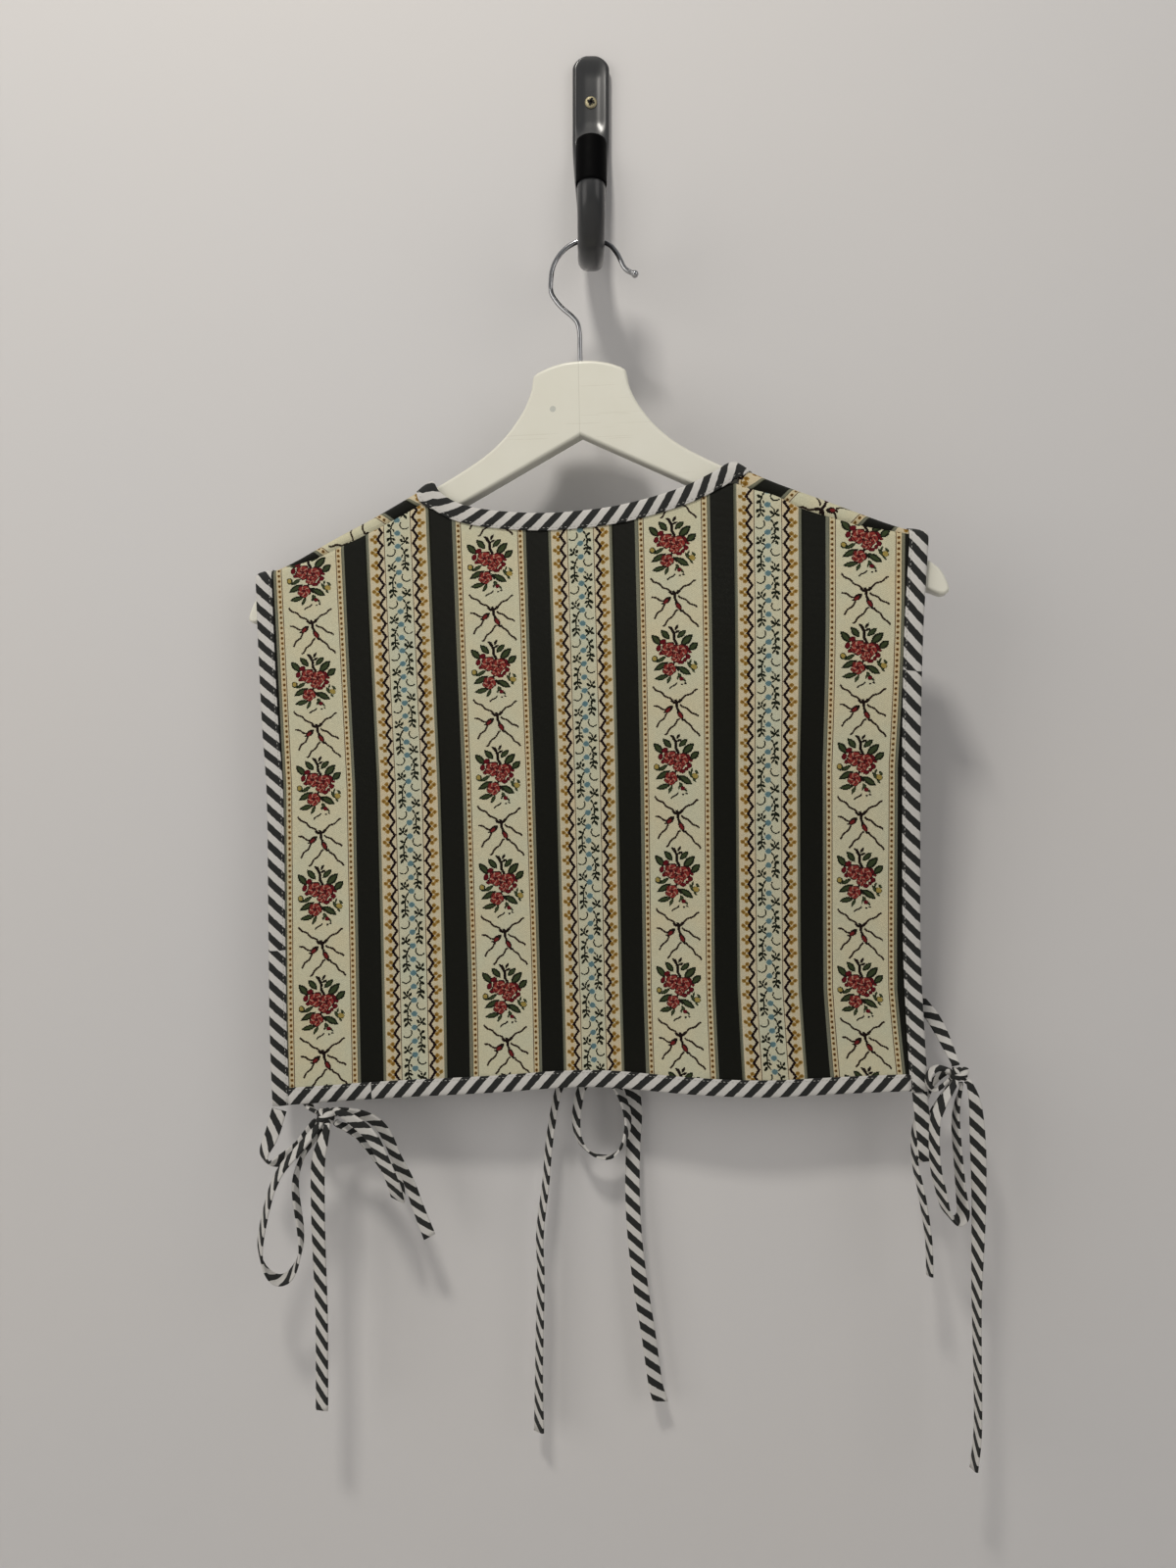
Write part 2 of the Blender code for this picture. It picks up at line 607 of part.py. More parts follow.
def add_hanger_body(mat, collection, cutters):
    curve = bpy.data.curves.new("hanger_body", "CURVE")
    curve.dimensions = "2D"
    curve.fill_mode = "BOTH"
    curve.extrude = HANGER_THICKNESS / 2 - HANGER_EDGE
    curve.bevel_depth = HANGER_EDGE
    curve.offset = -HANGER_EDGE
    curve.bevel_resolution = 1
    left = [(-x, z) for x, z in HANGER_UPPER]
    outline = HANGER_UPPER + [HANGER_APEX] + left[::-1]
    spline = curve.splines.new("POLY")
    spline.points.add(len(outline) - 1)
    for point, (x, z) in zip(spline.points, outline):
        point.co = (x * MM, z * MM, 0, 1)
    spline.use_cyclic_u = True
    body = bpy.data.objects.new("hanger_body", curve)
    collection.objects.link(body)
    body.matrix_world = hanger_matrix() @ Matrix.Rotation(math.pi / 2, 4, "X")
    bpy.context.view_layer.update()
    body = mesh_from_curve(body)
    body.data.materials.append(mat)
    socket = bmesh.new()
    reach = WIRE_RADIUS + SEAT_GAP
    bmesh.ops.create_cone(
        socket, cap_ends=True, segments=12, radius1=reach, radius2=reach, depth=2 * WIRE_SOCKET
    )
    cutter = add_mesh("wire_socket", socket, mat, cutters, smooth=False)
    cutter.matrix_world = hanger_matrix()
    cut(body, cutter)


def add_hanger_hook(mat, collection):
    """Bent wire with a ball on its end, its foot in the head's socket."""
    centre_x, centre_z = HOOK_CENTRE
    route = [(x * MM, z * MM) for x, z in WIRE_FOOT]
    for i in range(0, 12):
        angle = math.radians(176 - i * 12.4)
        route.append((centre_x + HOOK_RADIUS * math.cos(angle), centre_z + HOOK_RADIUS * math.sin(angle)))
    route += [(x * MM, z * MM) for x, z in WIRE_END]
    curve = bpy.data.curves.new("hanger_hook", "CURVE")
    curve.dimensions = "3D"
    curve.bevel_depth = WIRE_RADIUS
    curve.bevel_resolution = 2
    curve.use_fill_caps = True
    spline = curve.splines.new("POLY")
    spline.points.add(len(route) - 1)
    for point, (x, z) in zip(spline.points, route):
        point.co = (x, 0, z, 1)
    wire = bpy.data.objects.new("hanger_hook", curve)
    collection.objects.link(wire)
    wire.matrix_world = hanger_matrix()
    bpy.context.view_layer.update()
    wire = mesh_from_curve(wire)
    wire.data.materials.append(mat)
    ball = bmesh.new()
    bmesh.ops.create_uvsphere(ball, u_segments=12, v_segments=8, radius=BALL_RADIUS)
    ball_obj = add_mesh("hanger_hook_ball", ball, mat, collection)
    out, up = BALL_CENTRE
    ball_obj.matrix_world = hanger_matrix() @ Matrix.Translation((out * MM, 0, up * MM))


# Panels

PANEL_INSET = 0.0018
HEM_STEP = 0.012
SHOULDER_SHARES = [0, 0.04, 0.10, 0.18, 0.28, 0.38, 0.49, 0.61, 0.74, 0.86, 0.94, 1.0]
NECK_SHARES = [0.005, 0.05, 0.10, 0.17, 0.26, 0.36, 0.47, 0.58, 0.69, 0.79, 0.87, 0.94, 0.995]
FRONT_SHARES = [0.10, 0.17, 0.28, 0.42, 0.60, 0.80, 1.0]
FINE_ROW = 0.0029
BACK_FINE_ROWS = 4
BACK_ROWS = 8
WRAP_ROWS = 12
WRAP_END = -0.0165
FRONT_ROWS = 6
NECK_CORNERS = (BACK_NECK[0][0] * MM, BACK_NECK[-1][0] * MM)
EDGE_TOP = -0.290
OPENING_TOP = -0.345


def outer_edge(side, z):
    return left_edge(z) if side < 0 else right_edge(z)


def neck_corner(side):
    return NECK_CORNERS[0] if side < 0 else NECK_CORNERS[1]


def shoulder_columns(side):
    """Places across one shoulder, from the open side to the neck, shared by the back and the front."""
    start = outer_edge(side, EDGE_TOP) - side * PANEL_INSET
    end = neck_corner(side) + side * (BINDING_WIDTH + SEAM_GAP)
    return [start + (end - start) * share for share in SHOULDER_SHARES]


def across_back(x_top, z):
    """Where a column of the back panel stands at a height, spread between the two side edges."""
    z = min(z, EDGE_TOP)
    left, right = left_edge(EDGE_TOP) + PANEL_INSET, right_edge(EDGE_TOP) - PANEL_INSET
    share = (x_top - left) / (right - left)
    left, right = left_edge(z) + PANEL_INSET, right_edge(z) - PANEL_INSET
    return left + (right - left) * share


def down_to_hem(start, bottom, row, rows):
    """Rows evenly down the cloth, but for the last, which is as tall as the hem binding."""
    last = math.copysign(BINDING_WIDTH, bottom)
    return bottom if row == rows else start + (bottom - last - start) * row / (rows - 1)


def hem_height(x):
    return read_table(BACK_HEM, x, 1)


def neck_place(x):
    """The back neck edge, as a distance from the fold."""
    return place_of(x, read_table(BACK_NECK, x, 1))


def back_columns():
    left, right = NECK_CORNERS
    neck = [left + (right - left) * share for share in NECK_SHARES]
    return shoulder_columns(-1.0) + neck + shoulder_columns(1.0)[::-1]


def back_column(x_top):
    """Points of one column of the back panel, as x and distance from the fold."""
    left, right = NECK_CORNERS
    if left < x_top < right:
        top = neck_place(x_top) + PANEL_INSET * 1.2
        if min(x_top - left, right - x_top) < 0.012:
            top = max(top, seam_place(x_top))
    else:
        top = seam_place(x_top) + SEAM_GAP / 2
    points = []
    for i in range(BACK_FINE_ROWS + BACK_ROWS + 1):
        x, t = x_top, top + FINE_ROW * min(i, BACK_FINE_ROWS)
        for _ in range(3):
            bottom = place_of(x, hem_height(x) + PANEL_INSET)
            if i > BACK_FINE_ROWS:
                t = down_to_hem(top + FINE_ROW * BACK_FINE_ROWS, bottom, i - BACK_FINE_ROWS, BACK_ROWS)
            x = across_back(x_top, height_of(x, t))
        points.append((x, t))
    return points


def add_back_panel(mat, collection):
    columns = [[on_cloth(x, t) for x, t in back_column(x)] for x in back_columns()]
    panel = add_mesh("back_panel", grid_of(columns), mat, collection)
    solidify(panel, CLOTH)


def front_inner(z, side):
    """Outer edge of the binding down the centre opening, on one side of it."""
    return centre_line(z) + side * OPENING_GAP


def across_front(x_top, side, z):
    """Where a column of a front stands at a height, spread between the side and the opening."""
    z = min(z, EDGE_TOP)
    start = outer_edge(side, EDGE_TOP) - side * PANEL_INSET
    end = front_inner(EDGE_TOP, side) + side * PANEL_INSET
    share = (x_top - start) / (end - start)
    outer = outer_edge(side, z) - side * PANEL_INSET
    inner = front_inner(z, side) + side * PANEL_INSET
    return outer + (inner - outer) * share


def front_neck_knots(side):
    """Front neck edge from the fold to the opening: x and distance round the cloth, below 0 in front."""
    start, end = neck_corner(side), front_inner(OPENING_TOP, side)
    points = []
    for share, drop in FRONT_NECK:
        x = start + (end - start) * share
        points.append((x, place_of(x, fold_height(x) - drop * MM, -1.0)))
    return points


def front_neck_place(x, side):
    rows = [(a / MM, t / MM) for a, t in front_neck_knots(side)]
    return read_table(rows if side < 0 else rows[::-1], x, 1)


def front_neck_columns(side):
    start, end = neck_corner(side), front_inner(EDGE_TOP, side) + side * PANEL_INSET
    return [start + (end - start) * share for share in FRONT_SHARES]


def front_column(x_top, side):
    """Points of one column of a front, from its seam or, beside the neck, from the neck edge."""
    over_shoulder = (x_top - neck_corner(side)) * side > 0
    points = []
    if over_shoulder:
        top = seam_place(x_top) - SEAM_GAP / 2
        for i in range(WRAP_ROWS):
            t = top + (WRAP_END - top) * i / WRAP_ROWS
            points.append((across_front(x_top, side, height_of(x_top, t)), t))
        start = WRAP_END
    else:
        x, step = x_top, 0.001
        for _ in range(4):
            slope = (front_neck_place(x + step, side) - front_neck_place(x - step, side)) / (2 * step)
            start = front_neck_place(x, side) - PANEL_INSET * math.hypot(1.0, slope)
            x = across_front(x_top, side, height_of(x, start))
    for i in range(FRONT_ROWS + 1):
        x, t = x_top, start
        for _ in range(4):
            bottom = place_of(x, hem_height(x) + FRONT_HEM_RISE + PANEL_INSET, -1.0)
            t = down_to_hem(start, bottom, i, FRONT_ROWS)
            x = across_front(x_top, side, height_of(x, t))
        points.append((x, t))
    return points


def add_front_panel(side, mat, collection):
    name = "front_panel_left" if side < 0 else "front_panel_right"
    columns = [[on_cloth(x, t) for x, t in front_column(x, side)] for x in shoulder_columns(side)]
    for x_top in front_neck_columns(side):
        columns.append([None] * WRAP_ROWS + [on_cloth(x, t) for x, t in front_column(x_top, side)])
    panel = add_mesh(name, grid_of(columns if side < 0 else columns[::-1]), mat, collection)
    solidify(panel, CLOTH)


# Bindings

def binding_profile(lip_steps):
    """Middle of the folded tape's wall: in from its outer edge, out from the cloth."""
    lip = CLOTH / 2 + CHANNEL_GAP + BINDING_WALL / 2
    turn = BINDING_WALL / 2 + 0.0001
    start = turn + 0.0007
    across = [start + (BINDING_WIDTH - start) * n / lip_steps for n in range(lip_steps + 1)]
    half = [(turn, lip * 0.5)] + [(w, lip) for w in across]
    return half[::-1] + [(w, -h) for w, h in half]


def add_binding(name, path, towards, lip_steps, mat, collection):
    """A tape folded round an edge, its lips towards the cloth; the path is x and place on the cloth."""
    last = len(path) - 1
    points = [on_cloth(x, t) for x, t in path]
    half = last // 2
    across = cloth_normal(*path[half]).cross(points[half + 1] - points[half - 1])
    inward = 1.0 if across.dot(Vector(towards)) > 0 else -1.0
    step = 0.0008
    rows = []
    for i, (x, t) in enumerate(path):
        along = (points[min(i + 1, last)] - points[max(i - 1, 0)]).normalized()
        into = cloth_normal(x, t).cross(along).normalized() * inward
        by_x = (on_cloth(x + step, t) - on_cloth(x - step, t)) / (2 * step)
        by_t = (on_cloth(x, t + step) - on_cloth(x, t - step)) / (2 * step)
        mixed = by_x.dot(by_t)
        spread = by_x.dot(by_x) * by_t.dot(by_t) - mixed**2
        go_x = (by_t.dot(by_t) * by_x.dot(into) - mixed * by_t.dot(into)) / spread
        go_t = (by_x.dot(by_x) * by_t.dot(into) - mixed * by_x.dot(into)) / spread
        row = []
        for w, h in binding_profile(lip_steps):
            at = (x + go_x * w, t + go_t * w)
            row.append(on_cloth(*at) + cloth_normal(*at) * h)
        rows.append(row)
    binding = add_mesh(name, grid_of(rows if inward > 0 else rows[::-1]), mat, collection)
    solidify(binding, BINDING_WALL)


def curve_through(knots, steps):
    """Points on a smooth curve through the knots, with as many steps to each of them."""
    points = []
    for i in range(len(knots) - 1):
        a, b = Vector(knots[i]), Vector(knots[i + 1])
        before = Vector(knots[i - 1]) if i else a * 2 - b
        after = Vector(knots[i + 2]) if i + 2 < len(knots) else b * 2 - a
        for n in range(steps):
            s = n / steps
            points.append(
                0.5 * (2 * a + (b - before) * s + (2 * before - 5 * a + 4 * b - after) * s**2
                       + (3 * a - before - 3 * b + after) * s**3)
            )
    points.append(Vector(knots[-1]))
    return points


def side_path(side, face):
    """Down the open side from the fold, on the back if face is 1 and the front if -1."""
    x_top = shoulder_columns(side)[0]
    column = back_column(x_top) if face > 0 else front_column(x_top, side)
    top_x = outer_edge(side, EDGE_TOP)
    path = [(top_x, face * (0.0002 + FOLD_LENGTH * n / 5)) for n in range(6)]
    for _, t in column:
        if face * t > FOLD_LENGTH + 0.003:
            x = outer_edge(side, min(height_of(top_x, t), EDGE_TOP))
            path.append((x, t))
    low = path[-1]
    path[-1] = (low[0], low[1] + face * PANEL_INSET)
    return path


def hem_path(face, side=0.0):
    """Along the hem between the side bindings, or on one front between them and the opening."""
    left = left_edge(HEM_HEIGHT) + BINDING_WIDTH + CORNER_GAP
    right = right_edge(HEM_HEIGHT) - BINDING_WIDTH - CORNER_GAP
    if face > 0:
        ends = [back_column(x)[-1][0] for x in back_columns()]
    else:
        ends = [front_column(x, side)[-1][0] for x in shoulder_columns(side) + front_neck_columns(side)]
        clear = centre_line(HEM_HEIGHT) + side * (OPENING_GAP + BINDING_WIDTH + CORNER_GAP)
        left, right = (left, clear) if side < 0 else (clear, right)
    rise = FRONT_HEM_RISE if face < 0 else 0.0
    stations = [left]
    for x in sorted(ends):
        if stations[-1] + HEM_STEP < x < right - HEM_STEP / 2:
            stations.append(x)
    return [(x, place_of(x, hem_height(x) + rise, face)) for x in stations + [right]]


def back_neck_path():
    """The back neck edge, each end carried up to the fold."""
    first, last = NECK_CORNERS
    knots = [(first, 0.0002), (first + 0.0004, 0.0050)]
    knots += [(x * MM, neck_place(x * MM)) for x, _ in BACK_NECK[1:-1]]
    knots += [(last - 0.0014, 0.0042), (last, 0.0002)]
    return curve_through(knots, 2)


def front_neck_path(side):
    """The front neck edge from the fold to the opening."""
    knots = front_neck_knots(side)
    knots[0] = (knots[0][0], -0.0002)
    knots.insert(1, (knots[0][0] - side * 0.0004, -0.0055))
    return curve_through(knots, 2)


def front_edge_path(side):
    """Down the centre opening, from under the neck binding to the hem."""
    x_top = front_neck_columns(side)[-1]
    column = front_column(x_top, side)
    start = front_neck_knots(side)[-1][1] - BINDING_WIDTH - CORNER_GAP
    path = [(front_inner(height_of(x_top, start), side), start)]
    for x, t in column:
        if t < start - 0.004:
            path.append((front_inner(height_of(x, t), side), t))
    low = path[-1]
    path[-1] = (low[0], low[1] - PANEL_INSET)
    return path


def add_bindings(mat, collection):
    up, down = (0, 0, 1), (0, 0, -1)
    add_binding("back_neck_binding", back_neck_path(), down, 2, mat, collection)
    add_binding("back_hem_binding", hem_path(1.0), up, 1, mat, collection)
    for side, word in ((-1.0, "left"), (1.0, "right")):
        inside, outside = (-side, 0, 0), (side, 0, 0)
        add_binding(f"back_side_binding_{word}", side_path(side, 1.0), inside, 2, mat, collection)
        add_binding(f"front_side_binding_{word}", side_path(side, -1.0), inside, 2, mat, collection)
        add_binding(f"front_hem_binding_{word}", hem_path(-1.0, side), up, 1, mat, collection)
        add_binding(f"front_neck_binding_{word}", front_neck_path(side), outside, 2, mat, collection)
        add_binding(f"front_edge_binding_{word}", front_edge_path(side), outside, 1, mat, collection)


# Ties

def seat_on_knot(end):
    """Two rows that bring a tie straight in to its knot, in place of the route's last row."""
    place = Vector(end[:3])
    _, centre, size = min(KNOTS, key=lambda knot: (Vector(knot[1]) - place).length)
    out = place - Vector(centre)
    if out.length > KNOT_REACH:
        return [end]
    seat = out / math.sqrt(sum((o / r) ** 2 for o, r in zip(out, size)))
    normal = Vector([s / r**2 for s, r in zip(seat, size)]).normalized()
    seat += Vector(centre)
    return [(*(seat + normal * gap), *end[3:]) for gap in (KNOT_APPROACH, KNOT_GAP)]


def add_tie(name, rows, mat, collection):
    """A strip of folded tape along a route. It faces the room where its roll is 0."""
    rows = seat_on_knot(rows[0])[::-1] + rows[1:-1] + seat_on_knot(rows[-1])
    stations = curve_through(rows, TIE_STEPS)
    points = [Vector(s[:3]) * MM for s in stations]
    last = len(points) - 1
    facing = Vector((0, -1, 0))
    sheet = []
    for i, point in enumerate(points):
        reach = TIE_STEPS if i in (0, last) else 1
        along = (points[min(i + reach, last)] - points[max(i - reach, 0)]).normalized()
        facing = (facing - along * facing.dot(along)).normalized()
        across = along.cross(facing)
        across.rotate(Matrix.Rotation(math.radians(stations[i][3]), 3, along))
        half = across * stations[i][4] * MM / 2
        sheet.append([point - half, point + half])
    tie = add_mesh(name, grid_of(sheet), mat, collection)
    solidify(tie, TAPE_THICKNESS)


def add_knot(name, centre, size, mat, collection):
    bm = bmesh.new()
    bmesh.ops.create_uvsphere(bm, u_segments=12, v_segments=8, radius=1.0)
    bmesh.ops.scale(bm, verts=bm.verts, vec=[r * MM for r in size])
    knot = add_mesh(name, bm, mat, collection)
    knot.location = [c * MM for c in centre]


def add_ties(mat, collection):
    for name, rows in TIES.items():
        add_tie(name, rows, mat, collection)
    for name, centre, size in KNOTS:
        add_knot(name, centre, size, mat, collection)


def main():
    for obj in list(bpy.data.objects):
        bpy.data.objects.remove(obj)
    waistcoat = bpy.data.collections.new("waistcoat")
    cutters = bpy.data.collections.new("cutters")
    for collection in (waistcoat, cutters):
        bpy.context.scene.collection.children.link(collection)

    coat = material("enamelled steel", (0.075, 0.078, 0.082), 0.22)
    rubber = material("black rubber", (0.006, 0.006, 0.007), 0.45)
    zinc = material("zinc plated steel", (0.55, 0.48, 0.30), 0.35, 1.0)
    wood = material("white lacquered wood", (0.70, 0.69, 0.60), 0.35)
    chrome = material("chromed steel wire", (0.60, 0.60, 0.61), 0.15, 1.0)
    jacquard = material("striped jacquard", (0.42, 0.38, 0.27), 0.75)
    tape = material("striped bias tape", (0.30, 0.30, 0.30), 0.80)

    add_wall_hook(coat, waistcoat, cutters)
    add_tip_cap(rubber, waistcoat)
    add_wall_screw(zinc, waistcoat, cutters)
    add_hanger_body(wood, waistcoat, cutters)
    add_hanger_hook(chrome, waistcoat)
    add_back_panel(jacquard, waistcoat)
    add_front_panel(-1.0, jacquard, waistcoat)
    add_front_panel(1.0, jacquard, waistcoat)
    add_bindings(tape, waistcoat)
    add_ties(tape, waistcoat)


main()
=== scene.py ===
"""Looks of a striped jacquard waistcoat on a flat white hanger, hung from a tubular wall hook.

Metres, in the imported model's own frame: the wall is Y = 0 and the room lies towards -Y. The
garment's back faces the room. Tables are in millimetres. They repeat the part's own, except the
left shoulder's seam and the turns of some ties, which lie nearer the real ones here.
"""

import math

import bmesh
import bpy
from mathutils import Matrix, Vector


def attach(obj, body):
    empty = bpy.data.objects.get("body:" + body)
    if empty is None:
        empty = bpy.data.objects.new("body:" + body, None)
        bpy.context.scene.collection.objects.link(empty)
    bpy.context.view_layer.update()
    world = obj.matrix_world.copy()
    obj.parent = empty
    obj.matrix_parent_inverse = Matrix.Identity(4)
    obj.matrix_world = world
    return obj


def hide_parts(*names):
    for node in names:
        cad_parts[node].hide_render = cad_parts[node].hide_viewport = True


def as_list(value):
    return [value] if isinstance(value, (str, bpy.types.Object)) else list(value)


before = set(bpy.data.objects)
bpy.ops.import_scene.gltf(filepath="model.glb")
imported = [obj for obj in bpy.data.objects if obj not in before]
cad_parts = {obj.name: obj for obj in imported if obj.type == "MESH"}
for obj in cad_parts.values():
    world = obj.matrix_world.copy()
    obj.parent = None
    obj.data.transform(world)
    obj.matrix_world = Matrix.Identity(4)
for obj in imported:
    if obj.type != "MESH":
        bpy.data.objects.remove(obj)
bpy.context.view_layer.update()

MM = 0.001
SIDES = ((-1.0, "left"), (1.0, "right"))

# The photograph is 1200 by 1600; the long side takes the whole sensor
camera = bpy.data.objects.new("camera", bpy.data.cameras.new("camera"))
bpy.context.scene.collection.objects.link(camera)
bpy.context.scene.camera = camera
camera.data.lens = 26.0
camera.data.sensor_width = 36.0
camera.location = (-0.0019, -0.745, -0.4318)
camera.rotation_euler = (math.pi / 2, 0.0, 0.0)

# Sizes shared with the part
PLATE_TOP = 0.0446
PLATE_HALF_WIDTH = 0.0120
PLATE_HALF_DEPTH = 0.0027
PLATE_LEVEL_END = -0.012
PLATE_CROWN = 0.009
PLATE_CORNER = 0.0024
TOP_EDGE = 0.0016
DISH_DEPTH = 0.0014
DISH_CENTRE = 0.016
DISH_HALF_LENGTH = 0.026
DISH_RIM = 0.0015
SCREW_HEIGHT = 0.014
TUBE_RADIUS = 0.00825
BEND_HALF_DEPTH = 0.0065
BEND_CENTRE = (-0.045, -0.0783)
BEND_REACH = 0.0313
BEND_DROP = 0.0260
LEG_LEAN = 12.0
ARM_TOP = -0.0545
CAP_TOP = -0.0513
CAP_BOTTOM = -0.0784
CAP_RADIUS = 0.00925
HANGER_HEAD = (-0.0067, -0.045, -0.172)
HANGER_TURN = math.radians(8.0)
HANGER_TIP = math.radians(1.15)
HANGER_THICKNESS = 0.012
WIRE_RADIUS = 0.0015
HOOK_RADIUS = 0.0232
HOOK_CENTRE = (0.0060, 0.0531)
HOOK_START = 176
HOOK_STEP = 12.4
HOOK_STEPS = 11
BALL_CENTRE = (34.95, 52.6)
BALL_RADIUS = 0.0023
CLOTH = 0.0010
BINDING_WIDTH = 0.0105
TAPE_THICKNESS = 0.0018
TAPE_WALL = 0.0008
GAP_AT_HANGER = 0.0094
GAP_AT_HEM = 0.0062
FOLD_RISE = 0.0055
FOLD_SQUARENESS = 2.8
HANGER_TIP_HEIGHT = -0.318
HEM_HEIGHT = -0.628
DEPTH_AT_HANGER = -0.045
DEPTH_AT_HEM = -0.0265
TURN_AT_HEM = math.radians(1.0)
FRONT_HEM_RISE = 0.004
OPENING_GAP = 0.0012
WAVE_DEPTH = 0.0015
WAVE_LENGTH = 0.150
WAVE_START = 0.8
PANEL_INSET = 0.0018
EDGE_TOP = -0.290
OPENING_TOP = -0.345
CENTRE_TOP = -0.300
CENTRE_AT_TOP = -0.0081
CENTRE_DRIFT = 0.0134
CENTRE_LENGTH = 0.334
WRAP_END = -0.0165

# Outer edges of the bindings at the open sides: height, left edge, right edge
SIDE_EDGES = [(-640, -200.8, 212.4), (-590, -202.6, 208.2), (-530, -203.6, 203.0),
              (-440, -205.2, 197.3), (-400, -208.2, 195.2), (-345, -211.2, 194.4),
              (-285, -213.6, 197.4)]

# Top of the shoulder fold and how far the seam lies from it round the cloth: x, height, seam
LEFT_SHOULDER = [(-216, -299.6, 1.5), (-204, -296.6, 3.5), (-190, -291.6, 9.0),
                 (-174, -283.4, 13.5), (-157, -274.6, 15.0), (-137, -264.8, 16.0),
                 (-120, -255.8, 16.5), (-106, -248.0, 17.0), (-98, -243.0, 17.0)]
RIGHT_SHOULDER = [(86, -239.2, 19.5), (95, -244.4, 18.0), (110, -251.4, 15.8), (124, -257.2, 17.6),
                  (140, -263.6, 17.0), (160, -272.0, 14.8), (177, -278.8, 11.5), (190, -283.0, 9.5),
                  (200, -284.6, 8.5)]

# Outer edge of the neck binding on the back: x, height
BACK_NECK = [(-98.5, -243.0), (-95.0, -249.0), (-88.0, -254.8), (-78.0, -259.4), (-62.0, -262.9),
             (-41.0, -265.2), (-24.0, -265.8), (-8.0, -265.2), (11.0, -263.5), (28.0, -260.4),
             (44.0, -256.4), (58.0, -251.8), (70.0, -246.2), (79.0, -241.6), (86.0, -239.2)]
NECK_CORNERS = (BACK_NECK[0][0] * MM, BACK_NECK[-1][0] * MM)

# Outer edge of each front neck binding: share of the way to the opening, drop from the fold
FRONT_NECK = [(0.00, 0.0), (0.03, 12.0), (0.08, 28.0), (0.17, 47.0), (0.31, 66.0), (0.50, 83.0),
              (0.74, 97.0), (1.00, 105.0)]

# Lower edge of the back hem binding: x, height
BACK_HEM = [(-204, -635.0), (-161, -632.4), (-100, -628.4), (-59, -625.6), (-17, -622.8),
            (12, -623.0), (58, -626.4), (107, -628.1), (151, -626.6), (214, -623.4)]

# Half of the hanger's outline from the middle of its head: out, up
HANGER_UPPER = [(3.5, 0.0), (10.0, -0.6), (19.0, -2.7), (26.0, -5.6), (28.4, -7.6), (29.2, -10.5),
                (30.6, -17.5), (35.9, -29.0), (46.7, -43.2), (61.6, -55.8), (84.8, -69.2),
                (206.0, -132.6), (211.5, -137.4), (214.8, -143.2), (216.7, -149.0),
                (215.6, -151.8), (212.0, -152.8), (205.0, -150.0)]
HANGER_APEX = (0.0, -45.8)
WIRE_FOOT = [(0.0, -13.0), (0.0, 10.0), (0.0, 18.0), (-1.2, 25.0), (-4.6, 29.6), (-9.8, 34.4),
             (-14.2, 39.6), (-17.4, 46.0)]
WIRE_END = [(22.9, 68.2), (24.9, 65.0), (26.6, 61.2), (28.2, 57.6), (30.4, 55.1), (32.6, 53.8)]

# Where the floral stripes run on the back: the pattern's row, then each stripe's x and height
STRIPES = [
    (2, [(-177.9, -302.9), (-61.9, -297.3), (49.0, -289.7), (161.2, -290.6)]),
    (0, [(-171.4, -433.7), (-57.2, -426.9), (51.9, -420.4), (160.9, -421.2)]),
    (-2, [(-169.9, -572.6), (-53.5, -563.9), (54.4, -560.2), (167.4, -559.6)]),
    (-3, [(-168.6, -641.6), (-52.6, -633.0), (57.2, -629.8), (175.0, -629.2)]),
]
REPEAT_ACROSS = 113.0
REPEAT_DOWN = 68.0

